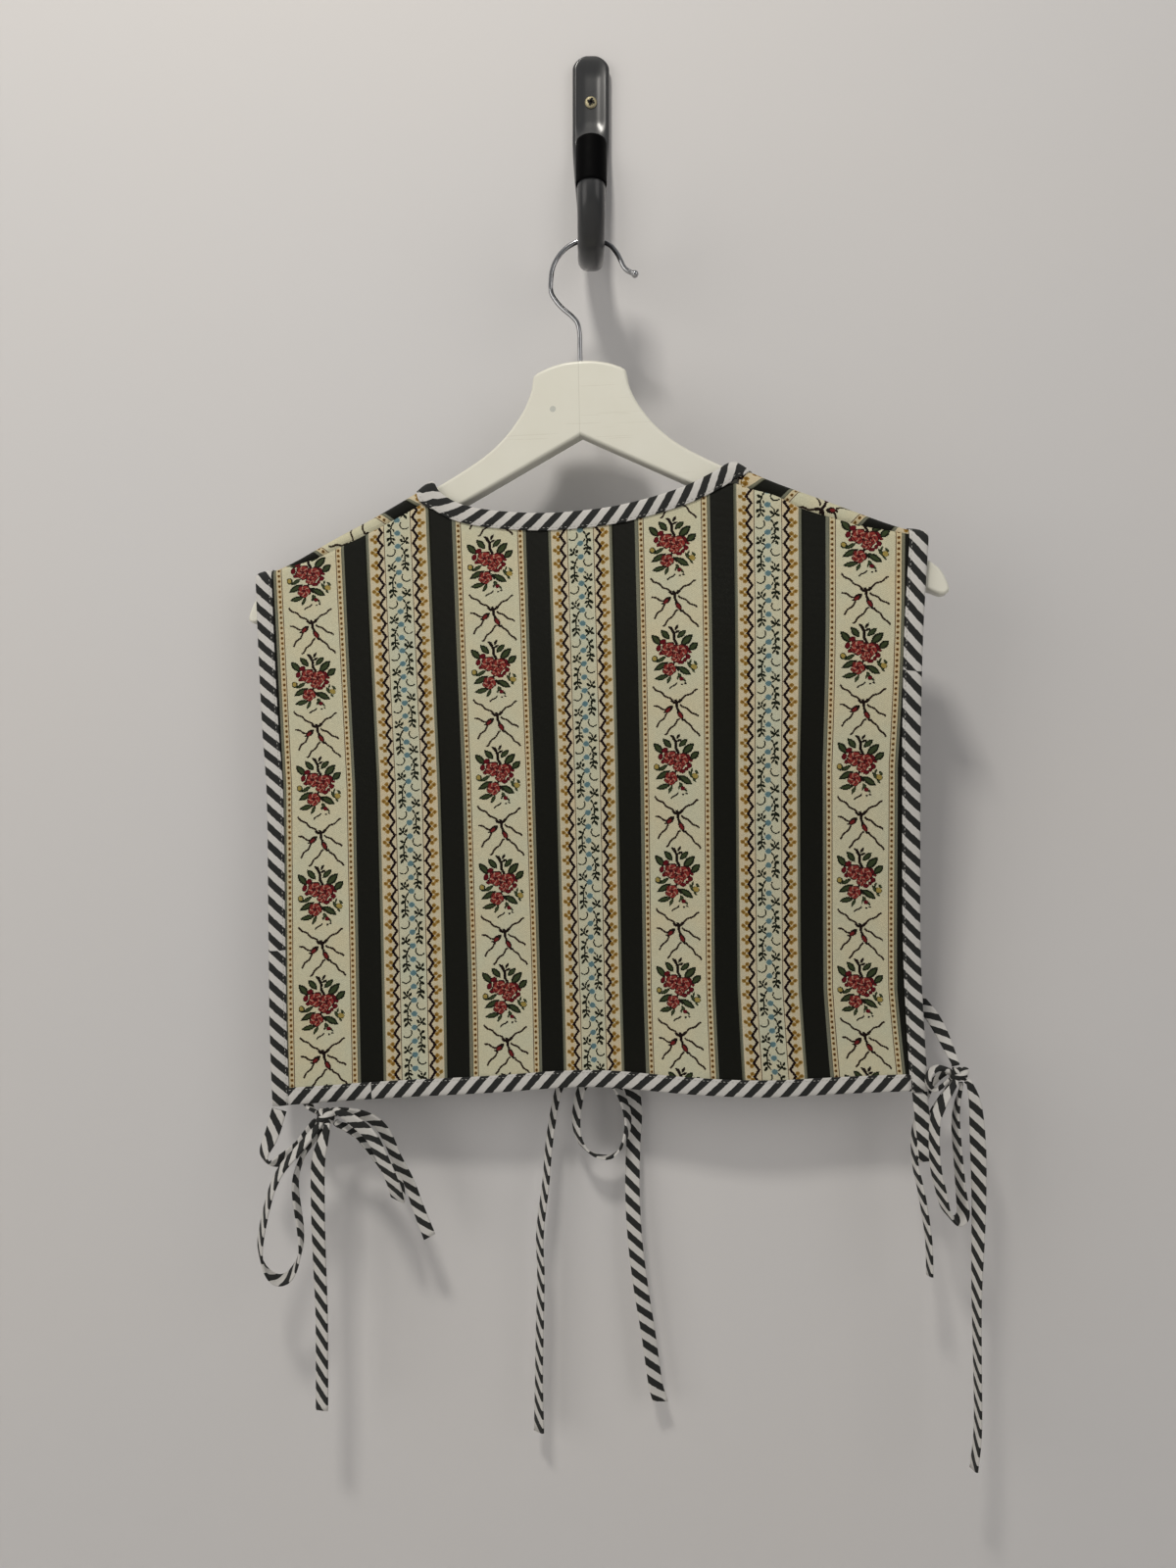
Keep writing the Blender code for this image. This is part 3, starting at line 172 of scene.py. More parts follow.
# Ties as strips of tape: x, y, z, roll in degrees, width
TIES = {
    "tie_left_strap_back": [
        (-196.2, -32.2, -636.8, 0, 9.5), (-200.5, -33.5, -652, 10, 9.5),
        (-204.6, -35.5, -662.8, 45, 9.5), (-201.5, -36.5, -669, 75, 9.5),
        (-194, -36.5, -667.6, 45, 9.5), (-183, -35.5, -660, 15, 9), (-177.5, -36, -652, 10, 7.5),
        (-173.4, -37.9, -643.5, 20, 4.5)],
    "tie_left_strap_front": [
        (-197, -18.4, -632.4, 90, 8), (-188, -19, -633.6, 90, 8), (-181, -23, -635.2, 90, 6.5),
        (-177.5, -29, -636.6, 85, 5), (-174, -33.9, -637.5, 70, 4)],
    "tie_left_loop_long": [
        (-170.4, -43.9, -645, 20, 4), (-180.5, -47.3, -657.5, 35, 7),
        (-190.9, -47.5, -669.7, 42, 8), (-197.9, -48, -686.2, 45, 9), (-203.9, -47, -715, 45, 9.5),
        (-202, -45.5, -730.3, 60, 9.5), (-195, -43.5, -738.9, 80, 9.5),
        (-187, -41.5, -737.2, 80, 9.5), (-181.3, -40.5, -725.2, 60, 9.5),
        (-180.7, -40, -710.9, 45, 9), (-184, -40.5, -682, 40, 8), (-180, -41, -664.9, 40, 6.5),
        (-172.5, -39.5, -653.5, 30, 5), (-168.9, -36.9, -648, 20, 4)],
    "tie_left_tail_long": [
        (-163.2, -43.9, -646, 0, 4), (-166, -46, -654, 0, 7.5), (-168.6, -46, -667.6, 0, 9.5),
        (-169, -44, -698.6, 0, 9.5), (-168.5, -42, -729.8, 5, 9.5), (-167.5, -41, -760.7, 10, 9.5),
        (-167.5, -40, -797.7, 10, 9.5), (-167.5, -40, -821.5, 10, 9.5)],
    "tie_left_loop_short": [
        (-156.7, -40.9, -635.6, 0, 4.5), (-145.9, -43, -641.6, 0, 8.5), (-135.4, -46, -650, 0, 9.5),
        (-128.1, -47, -663.9, 0, 9.5), (-121.8, -46.5, -679, 0, 9.5), (-120.2, -40.5, -690, 0, 9.5),
        (-122.2, -34.5, -682, 0, 9.5), (-131.5, -33.4, -668, 0, 9.5), (-145, -33.6, -652, 0, 8),
        (-157.4, -36.4, -644.5, 0, 4)],
    "tie_left_tail_short": [
        (-158.2, -29.7, -637.5, 60, 4), (-143.7, -26.8, -642, 60, 6.5),
        (-132.1, -25.8, -651.2, 60, 8), (-123.4, -25.5, -669.7, 62, 8),
        (-115.7, -26, -684.1, 62, 8), (-109.7, -27, -699.9, 60, 8.5), (-102.2, -28, -718.5, 55, 9)],
    "tie_centre_strap_left": [
        (-3, -16.6, -592, 0, 9), (-2.6, -16, -599, 0, 7.5), (-1.2, -13.5, -605.2, 0, 4)],
    "tie_centre_strap_right": [
        (10.2, -16.6, -592, 0, 9), (9.8, -16, -599, 0, 7.5), (7.6, -13.5, -605.2, 0, 4)],
    "tie_centre_tail_left": [
        (-5.8, -11.5, -615.5, 60, 4.5), (-13, -12, -621, 60, 6), (-20.9, -12, -630, 60, 7),
        (-26.6, -13, -661, 62, 8), (-29.1, -13.5, -689.2, 65, 9), (-32.9, -14, -722, 62, 9),
        (-32.3, -14, -748.6, 62, 9), (-32.9, -14, -780.2, 60, 9), (-33.5, -14, -811.8, 60, 9),
        (-33.5, -14, -849.8, 50, 9.5)],
    "tie_centre_loop": [
        (-1, -15, -621, 30, 4.5), (-6.3, -16, -629, 42, 7), (-9.5, -16, -646.5, 50, 8.5),
        (-7.6, -16, -660.1, 60, 9), (-0.6, -16, -668.9, 72, 9.5), (8.8, -16, -672.1, 80, 9.5),
        (16.7, -15.5, -669.5, 72, 9.5), (22.1, -14.5, -660.4, 60, 9),
        (23.8, -13.5, -646.8, 50, 8.5), (18.4, -12.5, -630.9, 42, 6.5),
        (10.5, -12, -621.4, 30, 4.5)],
    "tie_centre_tail_right": [
        (12.4, -8.5, -614, 0, 4.5), (20, -7, -620.5, 0, 7.5), (27, -6, -632, 0, 9.5),
        (28.8, -6, -648, 0, 9.5), (27.8, -6.5, -664, 5, 9.5), (27, -9, -694.3, 15, 9.5),
        (28.5, -10.5, -725.6, 20, 9.5), (32.2, -11.5, -756.8, 15, 9.5), (37.3, -12, -788.4, 0, 9.5),
        (41.7, -12.5, -819.4, 0, 9.5), (44.9, -12.5, -830.8, 0, 9.5)],
    "tie_right_strap_back": [
        (205.6, -36.4, -624.6, 0, 9.5), (206.8, -38, -640, 0, 9.5), (207.9, -40, -655, 0, 9.5),
        (208.6, -40.2, -662.6, 0, 9.5), (209, -37, -667, 0, 9.5), (209.4, -33.6, -662.2, 0, 9.5),
        (213, -33, -648, 0, 9.5), (220.5, -33, -632, 0, 7), (226.6, -34.5, -619.8, 0, 4)],
    "tie_right_strap_front": [
        (204.5, -24.3, -565, 0, 8.5), (212, -25.3, -573.5, 0, 8.5), (218, -27, -582, 0, 8.5),
        (222.5, -31, -592, 0, 7.5), (226, -37.5, -603.6, 0, 5)],
    "tie_right_loop_small": [
        (220.4, -41.6, -609.6, 60, 3.6), (214.5, -42.2, -608.2, 75, 5.5),
        (210.2, -42.5, -611.6, 85, 6.5), (209.2, -42.5, -617, 88, 6.5), (212, -42, -621.8, 85, 6),
        (216.6, -41.2, -620.6, 75, 5), (220, -40.6, -617, 60, 4)],
    "tie_right_loop_long": [
        (222, -48, -617.8, 20, 4), (214.5, -49.5, -630, 50, 7), (210.9, -50, -642, 60, 8),
        (211.5, -49.5, -665.7, 62, 9), (215.5, -48, -683, 65, 9.5), (219.1, -46.5, -695.2, 75, 9.5),
        (225.6, -43.5, -702.6, 88, 9.5), (231.2, -41, -699.5, 80, 9.5), (230.6, -39, -685, 65, 9.5),
        (229.2, -38.5, -666.7, 60, 9), (227.6, -38.5, -645, 60, 8), (227.8, -40.5, -631.2, 50, 6),
        (229.8, -42.5, -619.8, 20, 4)],
    "tie_right_tail_long": [
        (234.1, -47, -616.8, 0, 4), (236.6, -47.5, -629.2, 0, 7.5), (238.8, -45.5, -651.6, 10, 9.5),
        (240, -44, -677, 25, 9.5), (240.2, -43, -702.4, 40, 9.5), (239.4, -42, -747.3, 62, 9.5),
        (239.9, -41.5, -784.4, 70, 9.5), (240.5, -41, -831.3, 72, 9), (238, -41, -858.1, 72, 9)],
    "tie_right_tail_short": [
        (220.6, -33.4, -612.2, 40, 4), (216, -27.5, -622, 38, 6), (209, -26, -640, 35, 7),
        (205.8, -24.5, -655, 35, 7.5), (205.6, -27.5, -673, 38, 8), (208, -33, -690, 35, 8),
        (211.2, -36.5, -716.6, 38, 8.5), (211.8, -37, -739.3, 40, 9)],
}

# Knots: name, centre, half sizes
KNOTS = [
    ("tie_left_knot", (-165.4, -37.4, -639.0), (7, 5.5, 5.8)),
    ("tie_centre_knot", (3.2, -11.9, -612.5), (7, 5, 6)),
    ("tie_right_knot", (228.6, -42, -611.8), (6.4, 5.5, 5)),
]
KNOT_REACH = 16
KNOT_APPROACH = 3.2
KNOT_GAP = 0.2

# Turns of tape round a knot: lean in degrees, then width and reach as shares of its size
KNOT_TURNS = [(-38, 0.8, 0.94), (52, 1.7, 1.05)]


def read_table(rows, at, column):
    """The column's value at a place in the first column, on a smooth curve through the rows."""
    key = at / MM
    last = len(rows) - 1
    if key <= rows[0][0]:
        return rows[0][column] * MM
    if key >= rows[last][0]:
        return rows[last][column] * MM
    i = next(n for n in range(last) if rows[n][0] <= key <= rows[n + 1][0])

    def slope(n):
        low, high = max(n - 1, 0), min(n + 1, last)
        return (rows[high][column] - rows[low][column]) / (rows[high][0] - rows[low][0])

    span = rows[i + 1][0] - rows[i][0]
    s = (key - rows[i][0]) / span
    a, b = rows[i][column], rows[i + 1][column]
    value = (a * (2 * s**3 - 3 * s**2 + 1) + b * (3 * s**2 - 2 * s**3)
             + slope(i) * span * (s**3 - 2 * s**2 + s) + slope(i + 1) * span * (s**3 - s**2))
    return value * MM


def smooth_table(rows, column, step=0.25):
    """Looks a column up by place, in close samples of the smooth curve through the rows."""
    first = rows[0][0]
    count = math.ceil((rows[-1][0] - first) / step) + 1
    samples = [read_table(rows, (first + step * n) * MM, column) for n in range(count)]

    def look_up(at):
        place = min(max((at / MM - first) / step, 0.0), count - 1.0001)
        n = int(place)
        return samples[n] + (samples[n + 1] - samples[n]) * (place - n)

    return look_up


def curve_through(knots, steps):
    """Points on a smooth curve through the knots, with as many steps to each of them."""
    points = []
    for i in range(len(knots) - 1):
        a, b = Vector(knots[i]), Vector(knots[i + 1])
        before = Vector(knots[i - 1]) if i else a * 2 - b
        after = Vector(knots[i + 2]) if i + 2 < len(knots) else b * 2 - a
        for n in range(steps):
            s = n / steps
            points.append(0.5 * (2 * a + (b - before) * s
                                 + (2 * before - 5 * a + 4 * b - after) * s**2
                                 + (3 * a - before - 3 * b + after) * s**3))
    points.append(Vector(knots[-1]))
    return points


def smooth_step(t):
    t = min(1.0, max(0.0, t))
    return t * t * (3 - 2 * t)


# Shape of the cloth, as in the part

left_edge, right_edge = smooth_table(SIDE_EDGES, 1), smooth_table(SIDE_EDGES, 2)
left_fold, left_seam = smooth_table(LEFT_SHOULDER, 1), smooth_table(LEFT_SHOULDER, 2)
right_fold, right_seam = smooth_table(RIGHT_SHOULDER, 1), smooth_table(RIGHT_SHOULDER, 2)
hem_height, neck_height = smooth_table(BACK_HEM, 1), smooth_table(BACK_NECK, 1)


def outer_edge(side, z):
    return left_edge(z) if side < 0 else right_edge(z)


def fold_height(x):
    """Top of the shoulder fold, carried level across the neck."""
    (left, left_z, _), (right, right_z, _) = LEFT_SHOULDER[-1], RIGHT_SHOULDER[0]
    if left * MM < x < right * MM:
        return (left_z + (x / MM - left) / (right - left) * (right_z - left_z)) * MM
    return left_fold(x) if x < 0 else right_fold(x)


def seam_place(x):
    return left_seam(x) if x < 0 else right_seam(x)


def hang(z):
    """0 where the hanger holds the cloth, 1 at the hem."""
    return smooth_step((HANGER_TIP_HEIGHT - z) / (HANGER_TIP_HEIGHT - HEM_HEIGHT))


def middle_depth(x, z):
    """Depth of the plane halfway between the back and the fronts, with the hem's soft waves."""
    share = hang(z)
    turn = HANGER_TURN + (TURN_AT_HEM - HANGER_TURN) * share
    depth = DEPTH_AT_HANGER + (DEPTH_AT_HEM - DEPTH_AT_HANGER) * share
    wave = WAVE_DEPTH * math.sin(2 * math.pi * x / WAVE_LENGTH + WAVE_START)
    return depth - math.tan(turn) * (x - HANGER_HEAD[0]) + wave * share


def fold_quarter():
    """Points down one side of the fold, from its top: out, down, and the length to each."""
    points, steps = [(0.0, 0.0, 0.0)], 24
    for i in range(1, steps + 1):
        angle = 0.5 * math.pi * i / steps
        out = math.sin(angle) ** (2 / FOLD_SQUARENESS)
        down = FOLD_RISE * (1 - math.cos(angle) ** (2 / FOLD_SQUARENESS))
        far = math.hypot((out - points[-1][0]) * GAP_AT_HANGER, down - points[-1][1])
        points.append((out, down, points[-1][2] + far))
    return points


FOLD = fold_quarter()
FOLD_LENGTH = FOLD[-1][2]


def on_cloth(x, t):
    """A point on the cloth: t runs from the fold, down the back above 0 and the fronts below."""
    length, side = abs(t), 1.0 if t >= 0 else -1.0
    if length >= FOLD_LENGTH:
        out, down = 1.0, FOLD_RISE + length - FOLD_LENGTH
    else:
        i = next(n for n in range(len(FOLD) - 1) if FOLD[n + 1][2] >= length)
        a, b = FOLD[i], FOLD[i + 1]
        share = (length - a[2]) / (b[2] - a[2])
        out, down = a[0] + (b[0] - a[0]) * share, a[1] + (b[1] - a[1]) * share
    z = fold_height(x) - down
    half_gap = GAP_AT_HANGER + (GAP_AT_HEM - GAP_AT_HANGER) * hang(z)
    return Vector((x, middle_depth(x, z) - side * out * half_gap, z))


def slopes(x, t):
    """How a point on the cloth moves with x and with t."""
    step = 0.0008
    return ((on_cloth(x + step, t) - on_cloth(x - step, t)) / (2 * step),
            (on_cloth(x, t + step) - on_cloth(x, t - step)) / (2 * step))


def cloth_normal(x, t):
    by_x, by_t = slopes(x, t)
    return by_t.cross(by_x).normalized()


def place_of(x, z, side=1.0):
    """Distance from the fold, round the cloth, of a height below the fold."""
    down = fold_height(x) - z
    if down >= FOLD_RISE:
        return side * (FOLD_LENGTH + down - FOLD_RISE)
    i = next(n for n in range(len(FOLD) - 1) if FOLD[n + 1][1] >= down)
    a, b = FOLD[i], FOLD[i + 1]
    return side * (a[2] + (b[2] - a[2]) * (down - a[1]) / max(b[1] - a[1], 1e-9))


def height_of(x, t):
    return fold_height(x) - FOLD_RISE - max(abs(t) - FOLD_LENGTH, -FOLD_RISE)


def centre_line(z):
    """Middle of the garment, which leans a little as the hanger tips."""
    return CENTRE_AT_TOP + CENTRE_DRIFT * (CENTRE_TOP - z) / CENTRE_LENGTH


def front_inner(z, side):
    return centre_line(z) + side * OPENING_GAP


def neck_place(x):
    return place_of(x, neck_height(x))


def neck_corner(side):
    return NECK_CORNERS[0] if side < 0 else NECK_CORNERS[1]


def front_neck_knots(side):
    start, end = neck_corner(side), front_inner(OPENING_TOP, side)
    points = []
    for share, drop in FRONT_NECK:
        x = start + (end - start) * share
        points.append((x, place_of(x, fold_height(x) - drop * MM, -1.0)))
    return points


def front_neck_table(side):
    rows = [(a / MM, t / MM) for a, t in front_neck_knots(side)]
    return smooth_table(rows if side < 0 else rows[::-1], 1)


def spread(x_top, z, starts, ends):
    """A column's x at a height, kept at its share of the way between two edges."""
    z = min(z, EDGE_TOP)
    share = (x_top - starts(EDGE_TOP)) / (ends(EDGE_TOP) - starts(EDGE_TOP))
    return starts(z) + (ends(z) - starts(z)) * share


# Making pieces

def add_piece(name, bm, mats, replaced=(), smooth=True):
    """An object at the origin from a finished mesh, riding on the body."""
    mesh = bpy.data.meshes.new(name)
    bm.to_mesh(mesh)
    bm.free()
    piece = bpy.data.objects.new(name, mesh)
    for mat in mats:
        mesh.materials.append(mat)
    bpy.context.scene.collection.objects.link(piece)
    if smooth:
        mesh.shade_smooth()
    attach(piece, "root")
    if replaced:
        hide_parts(*replaced)
    return piece


def woven_grid(columns, rows, place, closed=False, joins=()):
    """A flat grid with each corner moved to place(across, down): its point, UV and outward way.

    joins are shares of the way across past which the UV's first number jumps, as at a piecing seam.
    """
    bm = bmesh.new()
    bmesh.ops.create_grid(bm, x_segments=columns, y_segments=rows, size=0.5)
    spots = {v: place(v.co.x + 0.5, 0.5 - v.co.y) for v in bm.verts}
    gone = [v for v, spot in spots.items() if spot is None]
    bmesh.ops.delete(bm, geom=gone, context="VERTS")
    uv = bm.loops.layers.uv.new("cloth")
    for face in bm.faces:
        across = face.calc_center_median().x + 0.5
        jump = sum(by for at, by in joins if across > at)
        for loop in face.loops:
            u, v = spots[loop.vert][1]
            loop[uv].uv = (u + jump, v)
    for v in bm.verts:
        v.co = spots[v][0]
    bm.normal_update()
    if closed:
        bmesh.ops.remove_doubles(bm, verts=bm.verts, dist=0.000002)
        bmesh.ops.holes_fill(bm, edges=[e for e in bm.edges if e.is_boundary], sides=0)
        bmesh.ops.recalc_face_normals(bm, faces=bm.faces)
    elif sum(f.normal.dot(spots[f.verts[0]][2]) for f in bm.faces) < 0:
        bmesh.ops.reverse_faces(bm, faces=bm.faces)
    return bm


def thicken(piece, thickness, inner_slot=0):
    wall = piece.modifiers.new("wall", "SOLIDIFY")
    wall.thickness = thickness
    wall.offset = 0.0
    wall.use_even_offset = True
    wall.material_offset = inner_slot
    return wall


# Materials

def linear(colour):
    """An sRGB hex colour as linear numbers."""
    parts = [int(colour[i:i + 2], 16) / 255 for i in (1, 3, 5)]
    return [*(c / 12.92 if c <= 0.04045 else ((c + 0.055) / 1.055) ** 2.4 for c in parts), 1.0]


def add_node(tree, kind, links=(), output=0, **settings):
    """A node with its settings; links holds a value, colour or socket for each input."""
    made = tree.nodes.new("ShaderNode" + kind)
    for name, value in settings.items():
        setattr(made, name, value)
    for key, value in (links if isinstance(links, dict) else dict(enumerate(links))).items():
        if isinstance(value, bpy.types.NodeSocket):
            tree.links.new(value, made.inputs[key])
        elif value is not None:
            made.inputs[key].default_value = linear(value) if isinstance(value, str) else value
    return made.outputs if output is None else made.outputs[output]


def new_material(name, sockets):
    """A material with one shader and its sockets set."""
    mat = bpy.data.materials.new(name)
    mat.use_nodes = True
    tree = mat.node_tree
    shader = tree.nodes["Principled BSDF"]
    for key, value in sockets.items():
        shader.inputs[key].default_value = linear(value) if isinstance(value, str) else value
    return mat, tree, shader


def connect(tree, shader, colour, rough=None, bump=None):
    """Leads the finished colour, roughness and relief into the shader."""
    for key, value in (("Base Color", colour), ("Roughness", rough), ("Normal", bump)):
        if value is not None:
            tree.links.new(value, shader.inputs[key])


def mottled(name, sockets, scale, detail, colours, rough=None, relief=None):
    """A finish that one soft noise varies: its two colours, its roughness and its relief."""
    mat, tree, shader = new_material(name, sockets)
    place = add_node(tree, "TexCoord", output="Object")
    marks = add_node(tree, "TexNoise", {"Vector": place, "Scale": scale, "Detail": detail})
    colour = add_node(tree, "Mix", {0: marks, 6: colours[0], 7: colours[1]}, 2, data_type="RGBA")
    if rough:
        rough = add_node(tree, "Math", [marks, *rough], operation="MULTIPLY_ADD")
    if relief:
        strength, depth = relief
        relief = add_node(tree, "Bump", {"Strength": strength, "Distance": depth, "Height": marks})
    connect(tree, shader, colour, rough, relief)
    return mat, tree, shader


# Jacquard: lengths are millimetres of cloth
THREAD = 0.45
FLORAL = "#cdc9b2"
STRIPE_LAYOUT = [(0.0, FLORAL), (17.0, "#4a2a1c"), (17.45, "#cabd9f"), (20.7, "#5c5d51"),
                 (21.1, "#76776a"), (22.7, "#10110b"), (36.6, "#5c5d51"), (37.2, "#76776a"),
                 (38.3, "#cdc2aa"), (48.0, "#5c4634"), (48.45, "#c9c8b4")]
SATIN_MIDDLE = 29.3
SATIN_HALF_WIDTH = 6.7
CREAM_RIB = 1.2
SATIN_RIB = 0.7

# Motifs: x, y, half length, half width, turn, and the kind of shape where it isn't a leaf
LEAVES = [(-11.2, 11.2, 4.6, 2.2, -50), (-5.6, 14.0, 4.2, 2.0, -50), (4.2, 14.0, 3.8, 1.8, 40),
          (7.2, 10.2, 5.2, 2.5, 44), (11.2, 6.2, 3.8, 2.3, 40), (-8.6, -5.4, 5.2, 2.0, 27),
          (-8.4, -12.4, 4.6, 1.7, 10), (-4.0, -14.2, 3.0, 1.1, 62), (5.4, -8.8, 5.2, 2.1, -33),
          (8.9, -5.6, 2.8, 1.1, -60), (9.4, -3.0, 1.7, 0.7, 66), (12.4, -4.0, 1.8, 0.8, -48),
          (11.0, -8.9, 1.7, 0.7, -50), (-8.4, -1.2, 3.6, 1.3, 30),
          (-12.4, -0.6, 2.2, 1.9, -60, "round"), (2.6, -12.0, 2.3, 1.2, -62),
          (5.4, -14.6, 1.6, 0.7, -56), (1.4, -13.4, 1.5, 0.6, 80)]
STEMS = [(-0.4, 12.6, 6.2, 0.9, -76, "twig"), (-2.2, 17.8, 2.3, 0.9, -38),
         (1.2, 18.0, 2.2, 0.9, 58), (1.7, 15.6, 1.9, 0.8, 24), (0.0, 4.0, 2.6, 0.8, 80),
         (-0.6, -3.6, 2.8, 0.7, 62), (1.2, -7.4, 2.6, 0.7, -60),
         (-1.4, -18.2, 3.0, 0.5, 38, "twig"), (3.9, -17.4, 0.7, 0.6, 20, "round"),
         (6.0, -16.8, 0.8, 0.6, -30, "round")]
BUDS = [(-12.6, -0.3, 1.6, 1.4, -60, "round"), (11.5, -6.4, 2.1, 1.7, -30, "round")]
PETALS = [(-7.2, 9.8, 2.1, 1.6, 20, "round"), (-9.9, 5.9, 1.6, 2.1, -20, "round"),
          (-8.4, 2.6, 1.6, 1.3, 0, "round"), (-6.6, 6.3, 1.0, 1.4, 0, "round"),
          (7.0, 5.1, 1.6, 2.2, 25, "round"), (9.0, 2.8, 1.3, 0.9, -20, "round"),
          (7.9, -0.2, 1.7, 1.6, 40, "round"), (6.0, -2.2, 1.2, 1.3, 0, "round"),
          (3.6, -3.7, 2.0, 1.3, 0, "round"), (-0.3, -8.8, 1.1, 1.3, 0, "round"),
          (3.7, -13.8, 1.5, 1.3, 0, "round")]
ROSES = [(-3.8, 4.8, 4.7), (3.0, 3.3, 4.6), (0.9, -0.6, 3.2), (-3.6, -7.6, 4.2)]
SPRIG = [(-1.4, 5.6, 2.4, 0.9, -32), (2.2, 5.9, 2.6, 0.9, 30), (0.6, 3.8, 3.6, 0.8, -74, "twig"),
         (-4.2, 1.4, 3.4, 1.8, 40), (2.7, -2.4, 3.9, 1.6, -60), (4.4, -5.6, 1.5, 0.7, -20),
         (-6.6, -0.4, 1.5, 0.7, 0)]
SPRIG_HEARTS = [(-4.8, 0.8, 1.7, 0.9, 40, "round"), (2.7, -2.6, 2.1, 0.9, -60, "round")]
TENDRILS = [(-7.6, 10.9, 8.2, 0.62, -37, "twig"), (7.8, 10.2, 6.6, 0.62, 30, "twig"),
            (-9.6, 2.6, 4.4, 0.62, -24, "twig"), (-8.8, -5.2, 5.4, 0.62, 48, "twig"),
            (-2.4, -9.8, 6.8, 0.62, 46, "twig"), (8.3, 0.2, 6.8, 0.62, -34, "twig"),
            (9.8, -10.4, 7.2, 0.62, -48, "twig")]

# Vine: half of it, from one blue dot down past the next to the third; the other half is mirrored
VINE = [(2.5, 6.7, 1.7, 0.6, -55), (3.7, 3.9, 2.2, 0.6, -72), (4.1, 0.2, 3.0, 0.6, 88),
        (4.2, -3.4, 2.2, 0.6, 84), (3.2, -5.8, 2.2, 0.6, 56), (5.0, 5.4, 1.6, 0.9, 34),
        (5.6, 1.8, 1.5, 1.0, -52), (2.4, 1.9, 1.3, 0.5, 66), (3.0, -1.4, 1.0, 0.5, 30),
        (2.6, -3.6, 1.4, 0.8, 36), (5.8, -3.6, 1.7, 1.0, -52), (5.2, -6.6, 1.8, 0.9, -58),
        (-5.8, -3.9, 1.4, 0.8, -62), (-3.9, -3.6, 1.4, 0.6, 78), (-2.4, -5.0, 1.6, 0.9, 54),
        (-5.9, -6.6, 1.5, 0.9, 14), (-4.4, -5.6, 1.1, 0.8, -50), (-2.9, -7.2, 1.9, 0.5, -34),
        (-2.6, -1.8, 1.6, 0.4, 46), (-4.7, 5.2, 2.9, 2.9, 128, "arc")]
BLUE_DOT = [(0, 0, 1.8, 1.65, 0, "round")]
TREFOIL = [(15.9, 0.0, 1.5, 1.2, 25, "round"), (13.8, 1.8, 1.35, 1.3, 0, "round"),
           (13.8, -1.8, 1.35, 1.3, 0, "round")]
BORDER_DOT = [(19.1, 0.0, 0.95, 1.0, 0, "round")]
BORDER_DOTS = 20
ZIGZAGS = 8
ZIGZAG_IN = 9.5
ZIGZAG_REACH = 3.0
TREFOIL_LAG = 3.0


def shape_axes(tree, place, x, y, long, wide, turn):
    """A place's share of the way out along a shape and across it; the place's third number is 1."""
    c, s = math.cos(math.radians(turn)), math.sin(math.radians(turn))
    rows = ((c / long, s / long, -(x * c + y * s) / long),
            (-s / wide, c / wide, (x * s - y * c) / wide))
    return [add_node(tree, "VectorMath", [place, row], 1, operation="DOT_PRODUCT") for row in rows]


def field_of(tree, place, rows):
    """A number that is under 1 inside any of the rows' shapes."""
    field = None
    for x, y, long, wide, turn, *other in rows:
        kind = other[0] if other else "leaf"
        along, aside = shape_axes(tree, place, x, y, long, wide, turn)
        if kind == "leaf":
            aside = add_node(tree, "Math", [aside], operation="ABSOLUTE")
            far = add_node(tree, "Math", [along, along, aside], operation="MULTIPLY_ADD")
        elif kind == "twig":
            wave = add_node(tree, "Math", [along, 0.9 * long], operation="MULTIPLY")
            wave = add_node(tree, "Math", [wave], operation="SINE")
            aside = add_node(tree, "Math", [wave, 0.35 / wide, aside], operation="MULTIPLY_ADD")
            aside = add_node(tree, "Math", [aside], operation="ABSOLUTE")
            along = add_node(tree, "Math", [along], operation="ABSOLUTE")
            far = add_node(tree, "Math", [along, aside], operation="MAXIMUM")
        else:
            square = add_node(tree, "Math", [aside, aside], operation="MULTIPLY")
            far = add_node(tree, "Math", [along, along, square], operation="MULTIPLY_ADD")
        if kind == "arc":
            off = add_node(tree, "Math", [far, -1.0], operation="ADD")
            off = add_node(tree, "Math", [off], operation="ABSOLUTE")
            off = add_node(tree, "Math", [off, 3.5], operation="MULTIPLY")
            half = add_node(tree, "Math", [along, 1.0], operation="ADD")
            far = add_node(tree, "Math", [off, half], operation="MAXIMUM")
        field = far if field is None else add_node(tree, "Math", [field, far], operation="MINIMUM")
    return field


def lay(tree, under, field, colour, reach=1.0):
    """The colour woven over what is under it, where the field is within reach."""
    share = add_node(tree, "Math", [field, reach], operation="LESS_THAN")
    return add_node(tree, "Mix", {0: share, 6: under, 7: colour}, 2, data_type="RGBA")


